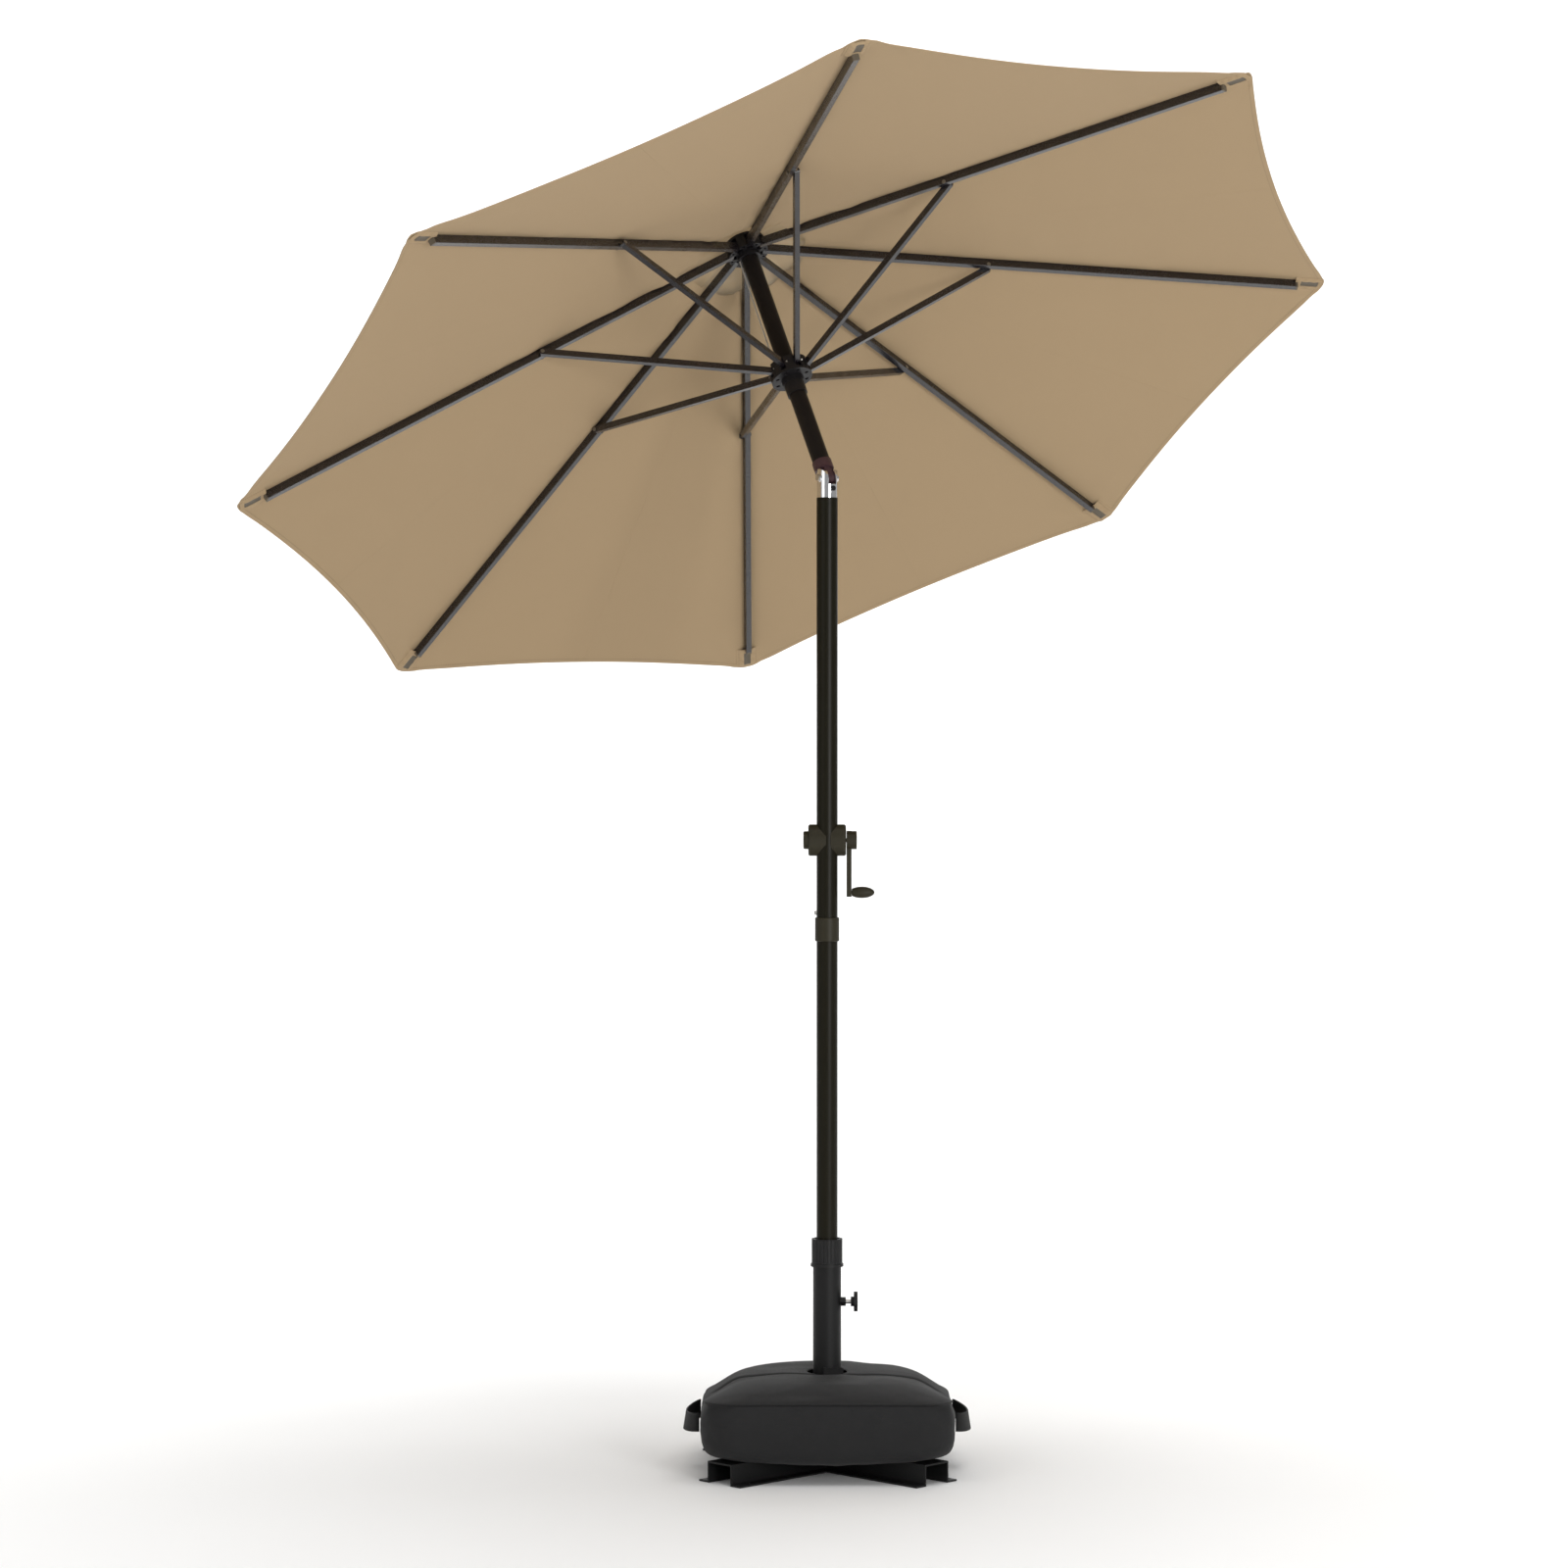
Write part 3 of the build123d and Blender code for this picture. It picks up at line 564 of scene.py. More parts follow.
# Places of the ribs about the mast, read from their hinges.
foldNames = ["canopy_fold"] + [f"rib_{index}_fold" for index in range(2, ribCount + 1)]
ribJoints = [joints[name] for name in foldNames]
hinges = [Vector(joint["pos_m"]) for joint in ribJoints]
crown = sum(hinges, Vector()) / len(hinges)
pivot = Vector(joints["tilt"]["pos_m"])
mastUp = (crown - pivot).normalized()
hingeRadius = (hinges[0] - crown).length

canopy = {
    "lean": radians(72.2),      # rib's angle from straight down the mast
    "lift": 0.0057,             # cloth's underside above the hinge line
    "thickness": 0.0007,
    "reach": 1.0585,
    "mouth": 0.066,
    "mouthBow": 0.024,
    "sag": 0.011,
    "sagShape": (1.2, 0.4),     # its share at the crown, and what it loses to the tip
    "ridge": 0.006,             # radius of the fold over the rib
    "hemSag": 0.030,
    "hemWidth": 0.010,
    "hemDoubled": 0.86,         # share of the hem that is two layers thick
    "hemExtra": 0.0007,
    "seamEdges": (0.0040, 0.0056),
    "seamExtra": 0.0004,
    "halfGore": 0.4999,         # a hair short of the neighbouring gore
    "cornerRound": 0.016,
    "cornerCut": 0.3,
    "foldedKeep": 0.9150,
    "bodyRows": 46,
    "hemRows": 6,
    "halfColumns": 22,
    "columnPower": 1.7,         # columns lie closer beside the rib
}

# Folds: pulled from the tip, gathered at the crown, drifting, and slack beside the rib.
folding = {
    "turn": 2.4,                # makes each gore's folds its own
    "pull": 0.0009,
    "pullWaves": 13,
    "pullReach": 0.11,
    "pullStart": 0.02,          # beyond the tip, where the pulled folds would meet
    "gather": 0.0060,
    "gatherScale": (24, 10),
    "gatherReach": 0.16,
    "drift": 0.0016,
    "driftScale": (4.5, 3.0),
    "clear": (0.004, 0.02),     # the first three fade out towards the rib
    "slack": 0.018,
    "slackScale": 13,
    "slackReach": 0.45,
    "slackWidth": 0.030,
    "slackClear": (0.0055, 0.0100),
    "slackStart": (0.05, 0.10),
    "ripple": 0.0012,
}


def ribFrame(index):
    side = Vector(ribJoints[index]["axis"]).normalized()
    out = side.cross(mastUp)
    place = Matrix.Identity(4)
    for column, vector in enumerate((out, side, mastUp, crown)):
        for row in range(3):
            place[row][column] = vector[row]
    return place


ribFrames = [ribFrame(index) for index in range(ribCount)]


# Across a gore at one radius: share runs from a rib at 0 to the next at 1, or back to -1.
def chord(radius, share):
    part = abs(share)
    return radius * (1 - part) + radius * cos(goreTurn) * part, radius * sin(goreTurn) * share


# How far a share lies from the ribs, 1 in the middle of a gore.
def middleness(share):
    return 4 * abs(share) * (1 - abs(share))


# A point of the cloth in a rib's frame: share runs from -0.5 to 0.5 between the two middles.
def clothPoint(along, share, lift):
    lean = canopy["lean"]
    x, y = chord(hingeRadius + along * sin(lean) + lift * cos(lean), share)
    return Vector((x, y, -along * cos(lean) + lift * sin(lean)))


ridgeSlope = (1 - cos(goreTurn)) * cos(canopy["lean"]) / sin(goreTurn)


def clothNormal(lateral):
    lean = canopy["lean"]
    upright = Vector((cos(lean), 0, sin(lean)))
    leaning = Vector((0, 1, 0)) * ridgeSlope * tanh(lateral / canopy["ridge"])
    return (upright + leaning).normalized()


# How far the folds push the cloth down at a point.
def foldDepth(index, along, share, lateral):
    look = folding
    phase = index * look["turn"]
    tip = canopy["reach"] - along
    reached = along / canopy["reach"]
    angle = atan2(lateral, tip + look["pullStart"])
    pull = sin(angle * look["pullWaves"] + phase) * exp(-tip / look["pullReach"]) * look["pull"]
    length, width = look["gatherScale"]
    gather = cloudAt(along * length, share * width + phase * 3, phase)
    gather *= exp(-along / look["gatherReach"]) * look["gather"]
    length, width = look["driftScale"]
    drift = cloudAt(along * length, share * width, phase) * look["drift"] * reached
    window = (1 - (2 * share) ** 2) ** 2
    broad = (pull + gather + drift) * window * smooth(*look["clear"], abs(lateral))
    # slack on both sides of the rib, deepest near the crown
    side = 0.0 if lateral < 0 else 7.0
    slack = cloudAt(along * look["slackScale"], phase + side, 3.0)
    folds = abs(slack) * look["slack"] * exp(-along / look["slackReach"]) + slack * look["ripple"]
    folds *= bell(lateral, look["slackWidth"])
    folds *= smooth(*look["slackClear"], abs(lateral)) * smooth(*look["slackStart"], along)
    return broad + folds


def clothSurface(index, along, share):
    flat = clothPoint(along, share, canopy["lift"])
    lateral, soft = flat.y, canopy["ridge"]
    normal = clothNormal(lateral)
    reached = along / canopy["reach"]
    full, loss = canopy["sagShape"]
    sag = canopy["sag"] * middleness(share) * reached * (full - loss * reached)
    sag += ridgeSlope * (sqrt(lateral ** 2 + soft ** 2) - abs(lateral))
    return flat - normal * (sag + foldDepth(index, along, share, lateral)), normal


# The rows of one column, from the vent's mouth to the hem, and how far it reaches.
def goreRows(share):
    part = middleness(share)
    mouth = canopy["mouth"] + canopy["mouthBow"] * part
    reach = canopy["reach"] - canopy["hemSag"] * part
    # the corner at the tip is rounded off
    short = max(canopy["cornerRound"] - abs(clothPoint(reach, share, 0).y), 0.0)
    reach -= canopy["cornerCut"] * short ** 2 / canopy["cornerRound"]
    inside = reach - canopy["hemWidth"]
    body, hem = canopy["bodyRows"], canopy["hemRows"]
    rows = [mouth + (inside - mouth) * (step / body) for step in range(body)]
    rows += [inside + canopy["hemWidth"] * step / hem for step in range(hem + 1)]
    return rows, reach


# The surface's normal from its neighbours, square to the gore's side borders.
def goreNormal(middle, row, column):
    point, normal = middle[row][column]
    lastRow, lastColumn = len(middle) - 1, len(middle[0]) - 1
    left = middle[row][max(column - 1, 0)][0]
    right = middle[row][min(column + 1, lastColumn)][0]
    low = middle[max(row - 1, 0)][column][0]
    high = middle[min(row + 1, lastRow)][column][0]
    exact = (high - low).cross(right - left).normalized()
    if exact.dot(normal) < 0:
        exact = -exact
    if column in (0, lastColumn):
        turn = goreTurn / 2 * (-1 if column == 0 else 1)
        border = Vector((-sin(turn), cos(turn), 0))
        exact = (exact - border * exact.dot(border)).normalized()
    return exact


def canopySector(index):
    count, limit = canopy["halfColumns"], canopy["halfGore"]
    half = [limit * (step / count) ** canopy["columnPower"] for step in range(count + 1)]
    shares = [-share for share in reversed(half[1:])] + half
    place = ribFrames[index]
    turn = place.to_3x3()
    table = [goreRows(share) for share in shares]
    middle, normals, outer, inner, edges = [], [], [], [], []
    for row in range(len(table[0][0])):
        newRow(middle, edges)
        for (rows, reach), share in zip(table, shares):
            point, normal = clothSurface(index, rows[row], share)
            middle[-1].append((point, normal))
            edges[-1].append((reach - rows[row], rows[row], point.y))
    for row, line in enumerate(middle):
        newRow(outer, inner, normals)
        for column, (point, normal) in enumerate(line):
            hemmed = edges[row][column][0] < canopy["hemWidth"] * canopy["hemDoubled"]
            doubled = canopy["hemExtra"] if hemmed else 0.0
            raised = canopy["seamExtra"] * (1 - smooth(*canopy["seamEdges"], abs(point.y)))
            outer[-1].append(place @ (point + normal * (canopy["thickness"] + raised)))
            inner[-1].append(place @ (point - normal * doubled))
            normals[-1].append(turn @ goreNormal(middle, row, column))

    def uvs(row, column):
        gap, along, lateral = edges[row][column]
        return (along, lateral), (gap, lateral)

    name = f"canopy_cloth_{index + 1}"
    piece = sheetMesh(name, outer, inner, "canopyCloth", uvs, normals=normals)
    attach(piece, f"rib_{index + 1}")
    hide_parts(f"canopy_{index + 1}")
    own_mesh(piece)
    return piece


# The seam tape on top where two gores meet keeps daylight out when the canopy folds.
tape = {
    "half": 0.0034,
    "lift": 0.00080,
    "thickness": 0.00022,
    "mouthGap": 0.002,
    "hemGap": 0.0025,
    "rows": 60,
    "columns": 4,
    "edgeGap": 0.004,           # keeps the hem's stitches off the tape
}


def goreTape(index):
    place = ribFrames[index]
    side = Vector((-sin(goreTurn / 2), cos(goreTurn / 2), 0))
    first = canopy["mouth"] + canopy["mouthBow"] + tape["mouthGap"]
    last = canopy["reach"] - canopy["hemSag"] - tape["hemGap"]
    outer, inner, edges = [], [], []
    for row in range(tape["rows"] + 1):
        along = first + (last - first) * row / tape["rows"]
        point, normal = clothSurface(index, along, canopy["halfGore"])
        normal = (normal - side * normal.dot(side)).normalized()
        newRow(outer, inner, edges)
        for column in range(tape["columns"] + 1):
            offset = (2 * column / tape["columns"] - 1) * tape["half"]
            here = point + side * offset
            outer[-1].append(place @ (here + normal * (tape["lift"] + tape["thickness"])))
            inner[-1].append(place @ (here + normal * tape["lift"]))
            edges[-1].append((along, offset))

    def uvs(row, column):
        along, offset = edges[row][column]
        return (along, offset), (tape["half"] - abs(offset) + tape["edgeGap"], along)

    piece = sheetMesh(f"gore_tape_{index + 1}", outer, inner, "canopyCloth", uvs)
    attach(piece, f"rib_{index + 1}")
    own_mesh(piece)
    return piece


# The pocket sewn under each tip: a band round the rib's end, and a frame round the moulded tip.
pocket = {
    "start": 0.9985,
    "band": 0.0105,
    "windowEnd": 1.0420,
    "end": 1.0505,
    "taper": 1.6,               # half width gained for each length from the cloth's tip
    "taperGap": 0.001,
    "slackFrom": 0.0090,
    "slackTo": 0.92,            # share of the half width
    "fade": 0.004,              # the mouth starts to close this far before the window's end
    "half": 0.0225,
    "windowHalf": 0.0070,
    "windowShare": 0.4,         # share of the columns that lie over the window
    "lopsided": 0.0030,
    "rise": 0.9,                # share of the cloth's own slope that the pocket follows
    "gap": 0.0004,
    "depth": 0.0049,            # how far the pocket hangs below the cloth
    "mouth": 0.25,              # share of the depth that is left at the end
    "wave": 0.0008,
    "waveScale": 420,
    "waveClear": (0.0075, 0.010),
    "thickness": 0.0006,
    "recess": 0.0004,
    "rows": 52,
    "columns": 40,
    "edgeGap": 0.004,
}


def tipPocket(index):
    place = ribFrames[index]
    look = pocket
    rows, columns = look["rows"], look["columns"]
    windowHalf, windowShare = look["windowHalf"], look["windowShare"]
    lopsided = look["lopsided"] * sin(index * 2.1 + 0.6)
    outer, inner, edges = [], [], []
    for row in range(rows + 1):
        along = look["start"] + (look["end"] - look["start"]) * row / rows
        opened = 1 - smooth(look["windowEnd"] - look["fade"], look["end"], along)
        tip = canopy["reach"] - along
        half = min(look["half"], look["taper"] * tip - look["taperGap"])
        surface, normal = clothSurface(index, along, 0.0)
        newRow(outer, inner, edges)
        for column in range(columns + 1):
            across = -1 + 2 * column / columns
            within = min(abs(across) / windowShare, 1.0)
            outside = max(abs(across) - windowShare, 0.0) / (1 - windowShare)
            lateral = within * windowHalf + outside * (half - windowHalf)
            lateral = (lateral if across > 0 else -lateral) + lopsided * (1 - abs(across))
            point = Vector((surface.x, lateral, surface.z))
            point -= normal * ridgeSlope * abs(lateral) * look["rise"]
            slack = 1 - smooth(look["slackFrom"], half * look["slackTo"], abs(lateral))
            wave = look["wave"] * sin(along * look["waveScale"] + index + column * 0.5)
            wave *= smooth(*look["waveClear"], abs(lateral)) * slack
            mouth = look["mouth"] + (1 - look["mouth"]) * opened
            low = point - normal * (look["gap"] + look["depth"] * slack * mouth + wave)
            outer[-1].append(place @ low)
            inner[-1].append(place @ (low - normal * look["thickness"]))
            edges[-1].append((along, lateral))

    windowStart = look["start"] + look["band"]
    firstColumn = round(columns * (1 - windowShare) / 2)

    def inWindow(row, column):
        between = windowStart < edges[row][column][0] < look["windowEnd"]
        return between and firstColumn <= column < columns - firstColumn

    def onCloth(row, column):
        return not inWindow(row, column)

    def uvs(row, column):
        along, lateral = edges[row][column]
        return (along, lateral), (look["half"] - abs(lateral) + look["edgeGap"], along)

    piece = sheetMesh(f"tip_pocket_{index + 1}", outer, inner, "canopyCloth", uvs, keep=onCloth)
    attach(piece, f"rib_{index + 1}")
    # the flat end of the moulded tip fills the window
    recess = place.to_3x3() @ clothNormal(0.0) * look["recess"]
    sunk = [[[point + recess for point in line] for line in grid] for grid in (outer, inner)]
    patch = sheetMesh(f"tip_face_{index + 1}", *sunk, "tipFace", uvs, keep=inWindow)
    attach(patch, f"rib_{index + 1}")
    return piece


for index in range(ribCount):
    cloth = canopySector(index)
    sewnOn = [tipPocket(index), goreTape(index)]
print("canopy sewn")


# The small upper canopy over the vent.
cap = {
    "reach": 0.236,
    "hemSag": 0.018,
    "lift": 0.019,
    "hole": 0.020,
    "sag": 0.004,
    "ripple": 0.0016,
    "rippleScale": 26,
    "rippleStart": (0.02, 0.10),
    "thickness": 0.0008,
    "hemWidth": 0.009,
    "hemDoubled": 0.9,
    "hemExtra": 0.0007,
    "bodyRows": 22,
    "hemRows": 5,
    "goreColumns": 14,
    "goreOffset": 0.2,          # each gore has its own place in the map
}


# A point of the cap in a rib's frame; along is negative inside the hinges.
def capPoint(along, share, sag):
    lean, tilted = canopy["lean"], max(along, 0.0)
    radius = hingeRadius + along
    if along >= 0:
        radius = hingeRadius + along * sin(lean) + cap["lift"] * cos(lean)
    x, y = chord(radius, share)
    return Vector((x, y, -tilted * cos(lean) + cap["lift"] * sin(lean) - sag))


def ventCap():
    body, hem, perGore = cap["bodyRows"], cap["hemRows"], cap["goreColumns"]
    outer, inner, edges = [], [], []
    for row in range(body + hem + 1):
        newRow(outer, inner, edges)
        for column in range(perGore * ribCount):
            index, step = divmod(column, perGore)
            share = step / perGore
            part = middleness(share)
            reach = cap["reach"] - cap["hemSag"] * part
            inside = reach - cap["hemWidth"]
            if row < body:
                down = row / body
                along = inside * down + (1 - down) * (cap["hole"] - hingeRadius)
            else:
                along = inside + cap["hemWidth"] * (row - body) / hem
            sag = 0.0
            if along > 0:
                ripple = cloudAt(along * cap["rippleScale"], column * 0.21, 1.0) * cap["ripple"]
                ripple *= smooth(*cap["rippleStart"], along)
                sag = cap["sag"] * part * along / cap["reach"] + ripple * part
            local = capPoint(along, share, sag)
            gap = reach - along
            doubled = cap["hemExtra"] if gap < cap["hemWidth"] * cap["hemDoubled"] else 0.0
            place = ribFrames[index]
            outer[-1].append(place @ (local + Vector((0, 0, cap["thickness"]))))
            inner[-1].append(place @ (local - Vector((0, 0, doubled))))
            edges[-1].append((gap, along, local.y + index * cap["goreOffset"]))

    def uvs(row, column):
        gap, along, lateral = edges[row][column]
        return (along, lateral), (gap, lateral)

    piece = sheetMesh("vent_cap_cloth", outer, inner, "capCloth", uvs, wrap=True)
    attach(piece, "mast")
    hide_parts("vent_canopy")


ventCap()
print("vent cap sewn")

# The visible run of the hoist cord, in two lengths that slide in each other as the runner moves.
cordRun = {
    "mastHeading": 124.2,
    "mastLean": 31.0,
    "bearing": 58.0,            # side of the mast that the cord runs down
    "top": 0.0194,
    "low": 0.0222,
    "topHeight": -0.020,
    "length": 0.243,
    "steps": 12,
}


def cordPiece(name, radius, body):
    look = cordRun
    heading, lean, bearing = [radians(look[key]) for key in ("mastHeading", "mastLean", "bearing")]
    mastTurn = Matrix.Rotation(heading, 3, "Z") @ Matrix.Rotation(lean, 3, "Y")
    aside = mastTurn @ Vector((cos(bearing), sin(bearing), 0))
    curve = bpy.data.curves.new(name, "CURVE")
    curve.dimensions = "3D"
    curve.bevel_depth = radius
    curve.bevel_resolution = 4
    curve.use_fill_caps = True
    spline = curve.splines.new("POLY")
    spline.points.add(look["steps"])
    for step, point in enumerate(spline.points):
        share = step / look["steps"]
        out = look["top"] + (look["low"] - look["top"]) * share
        here = crown + aside * out + mastUp * (look["topHeight"] - look["length"] * share)
        point.co = (*here, 1)
    curve.materials.append(finishes["cordYarn"])
    piece = placed(name, curve)
    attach(piece, body)
    return piece


upperCord = cordPiece("hoist_cord_upper", 0.00125, "mast")
cordPiece("hoist_cord_lower", 0.00110, "runner")
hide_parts("hoist_cord")
print("cord laid")

# The weight bag: slack and square, crowned on top, seamed round its upper edge and across.
bag = {
    "half": 0.228,
    "rest": 0.0383,
    "hole": 0.0325,
    "levels": (
        # height above the feet, share of the half width, corner radius share
        (0.0000, 0.160, 1.00), (0.0000, 0.400, 0.60), (0.0000, 0.640, 0.42),
        (0.0000, 0.800, 0.36), (0.0030, 0.860, 0.34), (0.0100, 0.930, 0.32),
        (0.0220, 0.972, 0.31), (0.0400, 0.992, 0.30), (0.0600, 0.998, 0.29),
        (0.0800, 0.992, 0.28), (0.0960, 0.980, 0.26), (0.1045, 0.966, 0.24),
        (0.1075, 0.955, 0.23), (0.1105, 0.935, 0.24), (0.1155, 0.880, 0.28),
        (0.1210, 0.800, 0.33), (0.1255, 0.715, 0.37), (0.1295, 0.610, 0.41),
        (0.1318, 0.500, 0.47), (0.1330, 0.400, 0.53), (0.1335, 0.300, 0.62),
        (0.1330, 0.215, 0.80), (0.1318, 0.160, 1.00),
    ),
    "wallFrom": (0.012, 0.03),  # heights between which the wall's folds set in
    "wallTo": (0.098, 0.107),
    "topFrom": (0.109, 0.120),
    "underTo": (0.0, 0.045),
    "underFrom": (0.55, 0.95),  # shares of the half width
    "domeSides": (-0.93, -0.20),
    "domeFrom": (0.060, 0.112),
    "dropFrom": (0.045, 0.105),
    "dropSizes": (0.68, 0.97),
    "columns": 264,
    "rows": 132,
    "middle": 0.060,            # height that the cloth's inside faces
    "thickness": 0.0016,
    "seam": 0.1075,             # height of the seam round the upper edge
    "stitchDrop": 0.0030,       # its stitches, and the painted shade of the groove, lie this far below it
    "welt": 0.0020,
    "weltWidth": 0.0013,
    "groove": 0.0016,
    "grooveWidth": 0.0022,
    "grooveDrop": 0.0040,
    "earReach": 0.0042,         # how far the seam stands out at each corner
    "earWidth": 0.0060,
    "crossSeam": -0.0365,       # where the top's two panels are joined
    "crossDepth": 0.0042,
    "crossWidth": 0.0052,
    "crumple": 0.0050,
    "fine": 0.0013,
    "pleat": 0.0012,
    "crease": 0.0012,
    "pinch": 0.0015,
    "dimple": 0.0042,
    "ruck": 0.0009,
    "ruckWidth": 0.020,
    "wave": 0.0022,
    "droop": 0.0075,            # sag of the lower edge between the legs
    "domeCorner": 0.92,         # corner share that the sides and the back tend to
    "shoulderDrop": 0.016,      # how far their upper edge sinks
}


def roundedSquare(half, corner, angle):
    radius = half * min(max(corner, 0.22), 1.0)
    flatHalf = half - radius
    x, y = cos(angle), sin(angle)
    scale = half / max(abs(x), abs(y))
    px, py = abs(x) * scale, abs(y) * scale
    if px > flatHalf and py > flatHalf:
        # where the ray meets the corner's arc
        dot = (abs(x) + abs(y)) * flatHalf
        rest = 2 * flatHalf * flatHalf - radius * radius
        reach = dot + sqrt(max(dot * dot - rest, 0.0))
        px, py = abs(x) * reach, abs(y) * reach
    return Vector((px if x >= 0 else -px, py if y >= 0 else -py))


# Height, width and corner at a share of the way from under the bag to its hole.
def bagLevel(level):
    levels = bag["levels"]
    last = len(levels) - 1
    base = min(int(level * last), last - 1)
    share = level * last - base
    around = [levels[min(max(base + step, 0), last)] for step in (-1, 0, 1, 2)]
    values = []
    for first, second, third, fourth in zip(*around):
        # a smooth curve through the levels
        values.append(0.5 * (
            2 * second + (third - first) * share
            + (2 * first - 5 * second + 4 * third - fourth) * share ** 2
            + (3 * second - first - 3 * third + fourth) * share ** 3))
    return values


# How far the wall stands out, by creases, corner pleats, seam and welt.
def wallInset(angle, height, corners):
    x, y = cos(angle), sin(angle)
    upright = smooth(*bag["wallFrom"], height) * (1 - smooth(*bag["wallTo"], height))
    crumple = cloudAt(x * 4.0, y * 4.0, height * 12) * bag["crumple"]
    fine = cloudAt(x * 15, y * 15, height * 40) * bag["fine"]
    pleat = sin(angle * 34) * bag["pleat"] * corners * smooth(0.060, 0.100, height)
    crease = sin(height * 120 + sin(angle * 3) * 2) * bag["crease"] * corners
    inset = upright * (crease + pleat - abs(crumple) - abs(fine) - bag["pinch"] * corners)
    away = height - bag["seam"]
    welt = bell(away, bag["weltWidth"]) * bag["welt"]
    welt -= bell(away + bag["grooveDrop"], bag["grooveWidth"]) * bag["groove"]
    return inset + (welt + bell(away, bag["earWidth"]) * bag["earReach"] * corners)


def bagPoint(level, angle):
    height, size, corner = bagLevel(level)
    half = bag["half"] * size
    # the front stands up square, and the sides and back round off into a dome
    flat = roundedSquare(half, corner, angle)
    slack = smooth(*bag["domeSides"], flat.y / half)
    corner += slack * (bag["domeCorner"] - corner) * smooth(*bag["domeFrom"], height)
    flat = roundedSquare(half, corner, angle)
    drop = slack * bag["shoulderDrop"] * smooth(*bag["dropSizes"], size)
    drop *= smooth(*bag["dropFrom"], height)
    inset = wallInset(angle, height, abs(sin(2 * angle)) ** 6)
    out = flat.normalized()
    x, y = flat.x + out.x * inset, flat.y + out.y * inset
    # the top: the seam across, its rucks, and dimples
    top = smooth(*bag["topFrom"], height)
    across = y - bag["crossSeam"]
    valley = bell(across, bag["crossWidth"]) * bag["crossDepth"] * top
    clear = top * smooth(bag["hole"] * 1.02, bag["hole"] * 1.9, flat.length)
    dimple = cloudAt(flat.x * 11, flat.y * 11, 2.0) * bag["dimple"] * clear
    ruck = sin(x * 62 + cloudAt(x * 8, y * 8, 5.0) * 3) * bag["ruck"] * clear
    ruck *= exp(-abs(across) / bag["ruckWidth"])
    # the underside hangs between the legs
    midSide = abs(cos(2 * angle)) ** 1.5
    hanging = (1 - smooth(*bag["underTo"], height)) * smooth(*bag["underFrom"], size) * midSide
    wave = cloudAt(cos(angle) * 6, sin(angle) * 6, 9.0) * bag["wave"] * (size > 0.7)
    wave *= (1 - smooth(0.0, 0.04, height)) * midSide
    z = bag["rest"] + height - drop + min(dimple, 0.0) + ruck - valley
    return Vector((x, y, z - hanging * bag["droop"] + wave)), height


def weightBag():
    columns, rows = bag["columns"], bag["rows"]
    outer, inner, edges = [], [], []
    middle = Vector((0, 0, bag["rest"] + bag["middle"]))
    for row in range(rows + 1):
        newRow(outer, inner, edges)
        for column in range(columns):
            point, height = bagPoint(row / rows, 2 * pi * column / columns)
            outer[-1].append(point)
            inner[-1].append(point + (middle - point).normalized() * bag["thickness"])
            above = height - bag["seam"] + bag["stitchDrop"]
            run = atan2(point.y, point.x) * bag["half"]
            edges[-1].append((above, point.y - bag["crossSeam"], run))

    def uvs(row, column):
        above, behind, run = edges[row][column]
        return (run, above + row * 0.001), (above, behind)

    shell = sheetMesh("weight_bag_cloth", outer, inner, "bagCloth", uvs, wrap=True)
    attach(shell, "base")
    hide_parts("weight_bag", "sand_fill")


# The short flap that stands at the foot of the tube.
flap = {
    "left": -0.007,
    "right": 0.029,
    "foot": -0.0350,
    "head": -0.0272,
    "base": 0.1325,
    "rise": 0.0095,
    "sunk": 0.0030,
    "wave": 0.0006,
    "thickness": 0.0014,
    "rows": 10,
    "columns": 18,
}


def bagFlap():
    rows, columns = flap["rows"], flap["columns"]
    base = bag["rest"] + flap["base"]
    outer, inner = [], []
    for row in range(rows + 1):
        share = row / rows
        newRow(outer, inner)
        for column in range(columns + 1):
            x = flap["left"] + (flap["right"] - flap["left"]) * column / columns
            y = flap["foot"] + (flap["head"] - flap["foot"]) * share ** 0.7
            z = base + flap["rise"] * share - flap["sunk"] * (1 - share)
            z += flap["wave"] * sin(column * 1.3) * share
            outer[-1].append(Vector((x, y - flap["thickness"], z)))
            inner[-1].append(Vector((x, y, z)))

    def uvs(row, column):
        return (column * 0.002, row * 0.001), (1.0, 0.0)

    piece = sheetMesh("bag_flap", outer, inner, "bagCloth", uvs)
    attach(piece, "base")


bagFlap()
weightBag()
print("bag filled")

# Webbing handles, one on each side, leaning out and down.
handle = {
    "height": 0.0905,
    "tape": 0.034,
    "thickness": 0.0026,
    "span": 0.150,
    "gap": 0.0008,
    "bow": 0.0255,
    "lean": 0.30,
    "leanOut": 0.5,
    "sag": 0.006,
    "rows": 60,
    "columns": 8,
}


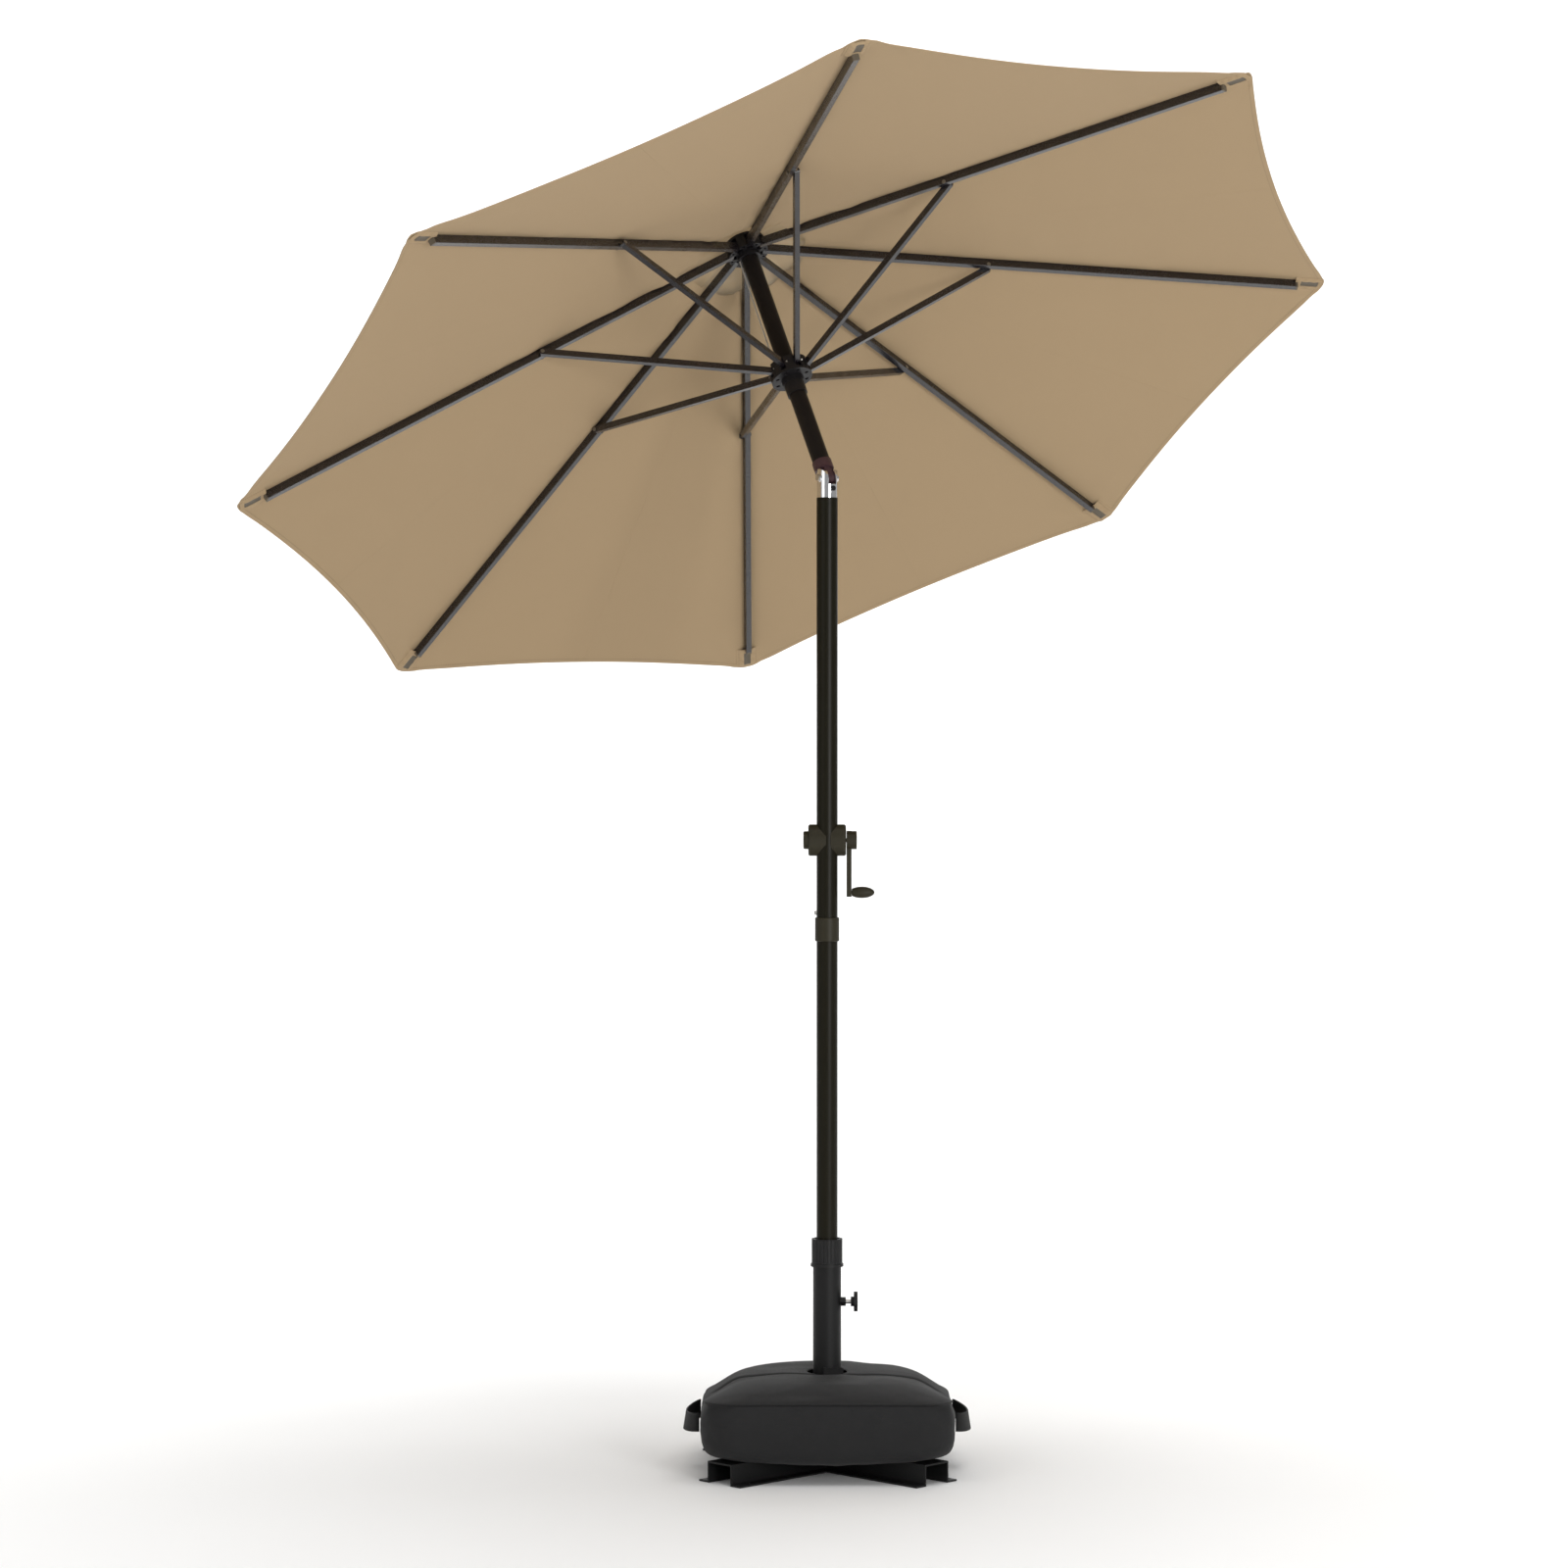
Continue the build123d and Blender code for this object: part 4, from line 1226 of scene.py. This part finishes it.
def webbingLoop(name, sign):
    rows, columns = handle["rows"], handle["columns"]
    outer, inner, edges = [], [], []
    for row in range(rows + 1):
        share = -1 + 2 * row / rows
        arch = (1 - share * share) ** 0.8
        outX = bag["half"] + handle["gap"] + handle["bow"] * arch
        along = share * handle["span"] / 2
        lean = handle["lean"] * arch
        newRow(outer, inner, edges)
        for column in range(columns + 1):
            up = (-0.5 + column / columns) * handle["tape"]
            z = handle["height"] + up * cos(lean) - handle["sag"] * arch
            x = outX - up * sin(lean) * handle["leanOut"]
            outer[-1].append(Vector((sign * (x + handle["thickness"]), sign * along, z)))
            inner[-1].append(Vector((sign * x, sign * along, z)))
            edges[-1].append((along, up))

    def uvs(row, column):
        return edges[row][column], (1.0, 0.0)

    piece = sheetMesh(name, outer, inner, "webbing", uvs)
    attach(piece, "base")
    return piece


rightLoop = webbingLoop("handle_right", 1)
webbingLoop("handle_left", -1)
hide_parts("bag_handles")
print("handles sewn")

# Pale floor that sweeps up behind.
studio = {
    "half": 45.0,
    "front": -40.0,
    "bend": 7.0,
    "radius": 4.0,
    "height": 12.0,
    "steps": 24,
    "sunk": 0.0005,
    "rgb": (0.93, 0.93, 0.925),
    "rough": 0.9,
}


def studioSweep():
    profile = [(studio["front"], 0.0), (studio["bend"], 0.0)]
    for step in range(1, studio["steps"] + 1):
        turn = pi / 2 * step / studio["steps"]
        y = studio["bend"] + studio["radius"] * sin(turn)
        profile.append((y, studio["radius"] * (1 - cos(turn))))
    profile.append((studio["bend"] + studio["radius"], studio["height"]))
    build = bmesh.new()
    left, right = [
        [build.verts.new((x, y, z - studio["sunk"])) for y, z in profile]
        for x in (-studio["half"], studio["half"])]
    for step in range(len(profile) - 1):
        corners = (left[step], right[step], right[step + 1], left[step + 1])
        build.faces.new(corners).smooth = True
    mesh = bpy.data.meshes.new("studio_floor")
    build.to_mesh(mesh)
    build.free()
    finish = Finish("studioPaper", Specular_IOR_Level=0.2)
    tones = shade(studio["rgb"], 0.99), shade(studio["rgb"], 1.01)
    finish.colour(finish.mix(finish.noise(2.0, 2.0), *tones))
    finish.rough(studio["rough"] + finish.noise(3.0) * 0.05)
    mesh.materials.append(finish.material)
    placed("studio_floor", mesh)


studioSweep()

# Large soft lamps: place, aim, size, watts.
lamps = {
    "keyLamp": {"at": (3.0, -5.8, 1.6), "aim": (0.1, 0.0, 1.4), "size": 1.9, "watts": 170},
    "fillLamp": {"at": (-4.8, -4.6, 3.0), "aim": (0.0, 0.0, 1.3), "size": 3.6, "watts": 55},
    "topLamp": {"at": (0.5, -1.4, 6.4), "aim": (0.0, -0.4, 0.0), "size": 5.0, "watts": 235},
    "wallLamp": {"at": (0.0, 4.4, 8.6), "aim": (0.0, 10.6, 2.2), "size": 7.0, "watts": 820},
}
for name, look in lamps.items():
    lamp = bpy.data.lights.new(name, "AREA")
    lamp.energy = look["watts"]
    lamp.size = look["size"]
    holder = placed(name, lamp)
    holder.location = look["at"]
    toward = Vector(look["aim"]) - Vector(look["at"])
    holder.rotation_euler = toward.to_track_quat("-Z", "Y").to_euler()

daylight = {"Color": (1.0, 1.0, 1.0, 1.0), "Strength": 0.34}
world = bpy.data.worlds.new("studioLight")
world.use_nodes = True
for key, value in daylight.items():
    world.node_tree.nodes["Background"].inputs[key].default_value = value
scene.world = world
print("lamps lit")

view = {
    "at": (-0.0776, -7.3986, 1.326),
    "pitch": -0.75,
    "fov": 21.6,
    "sensor": 36.0,
    "far": 100.0,
}
camera = bpy.data.cameras.new("camera")
camera.sensor_width = view["sensor"]
camera.lens = view["sensor"] / 2 / tan(radians(view["fov"]) / 2)
camera.clip_end = view["far"]
viewer = placed("camera", camera)
viewer.location = view["at"]
viewer.rotation_euler = (radians(90 + view["pitch"]), 0, 0)
scene.camera = viewer
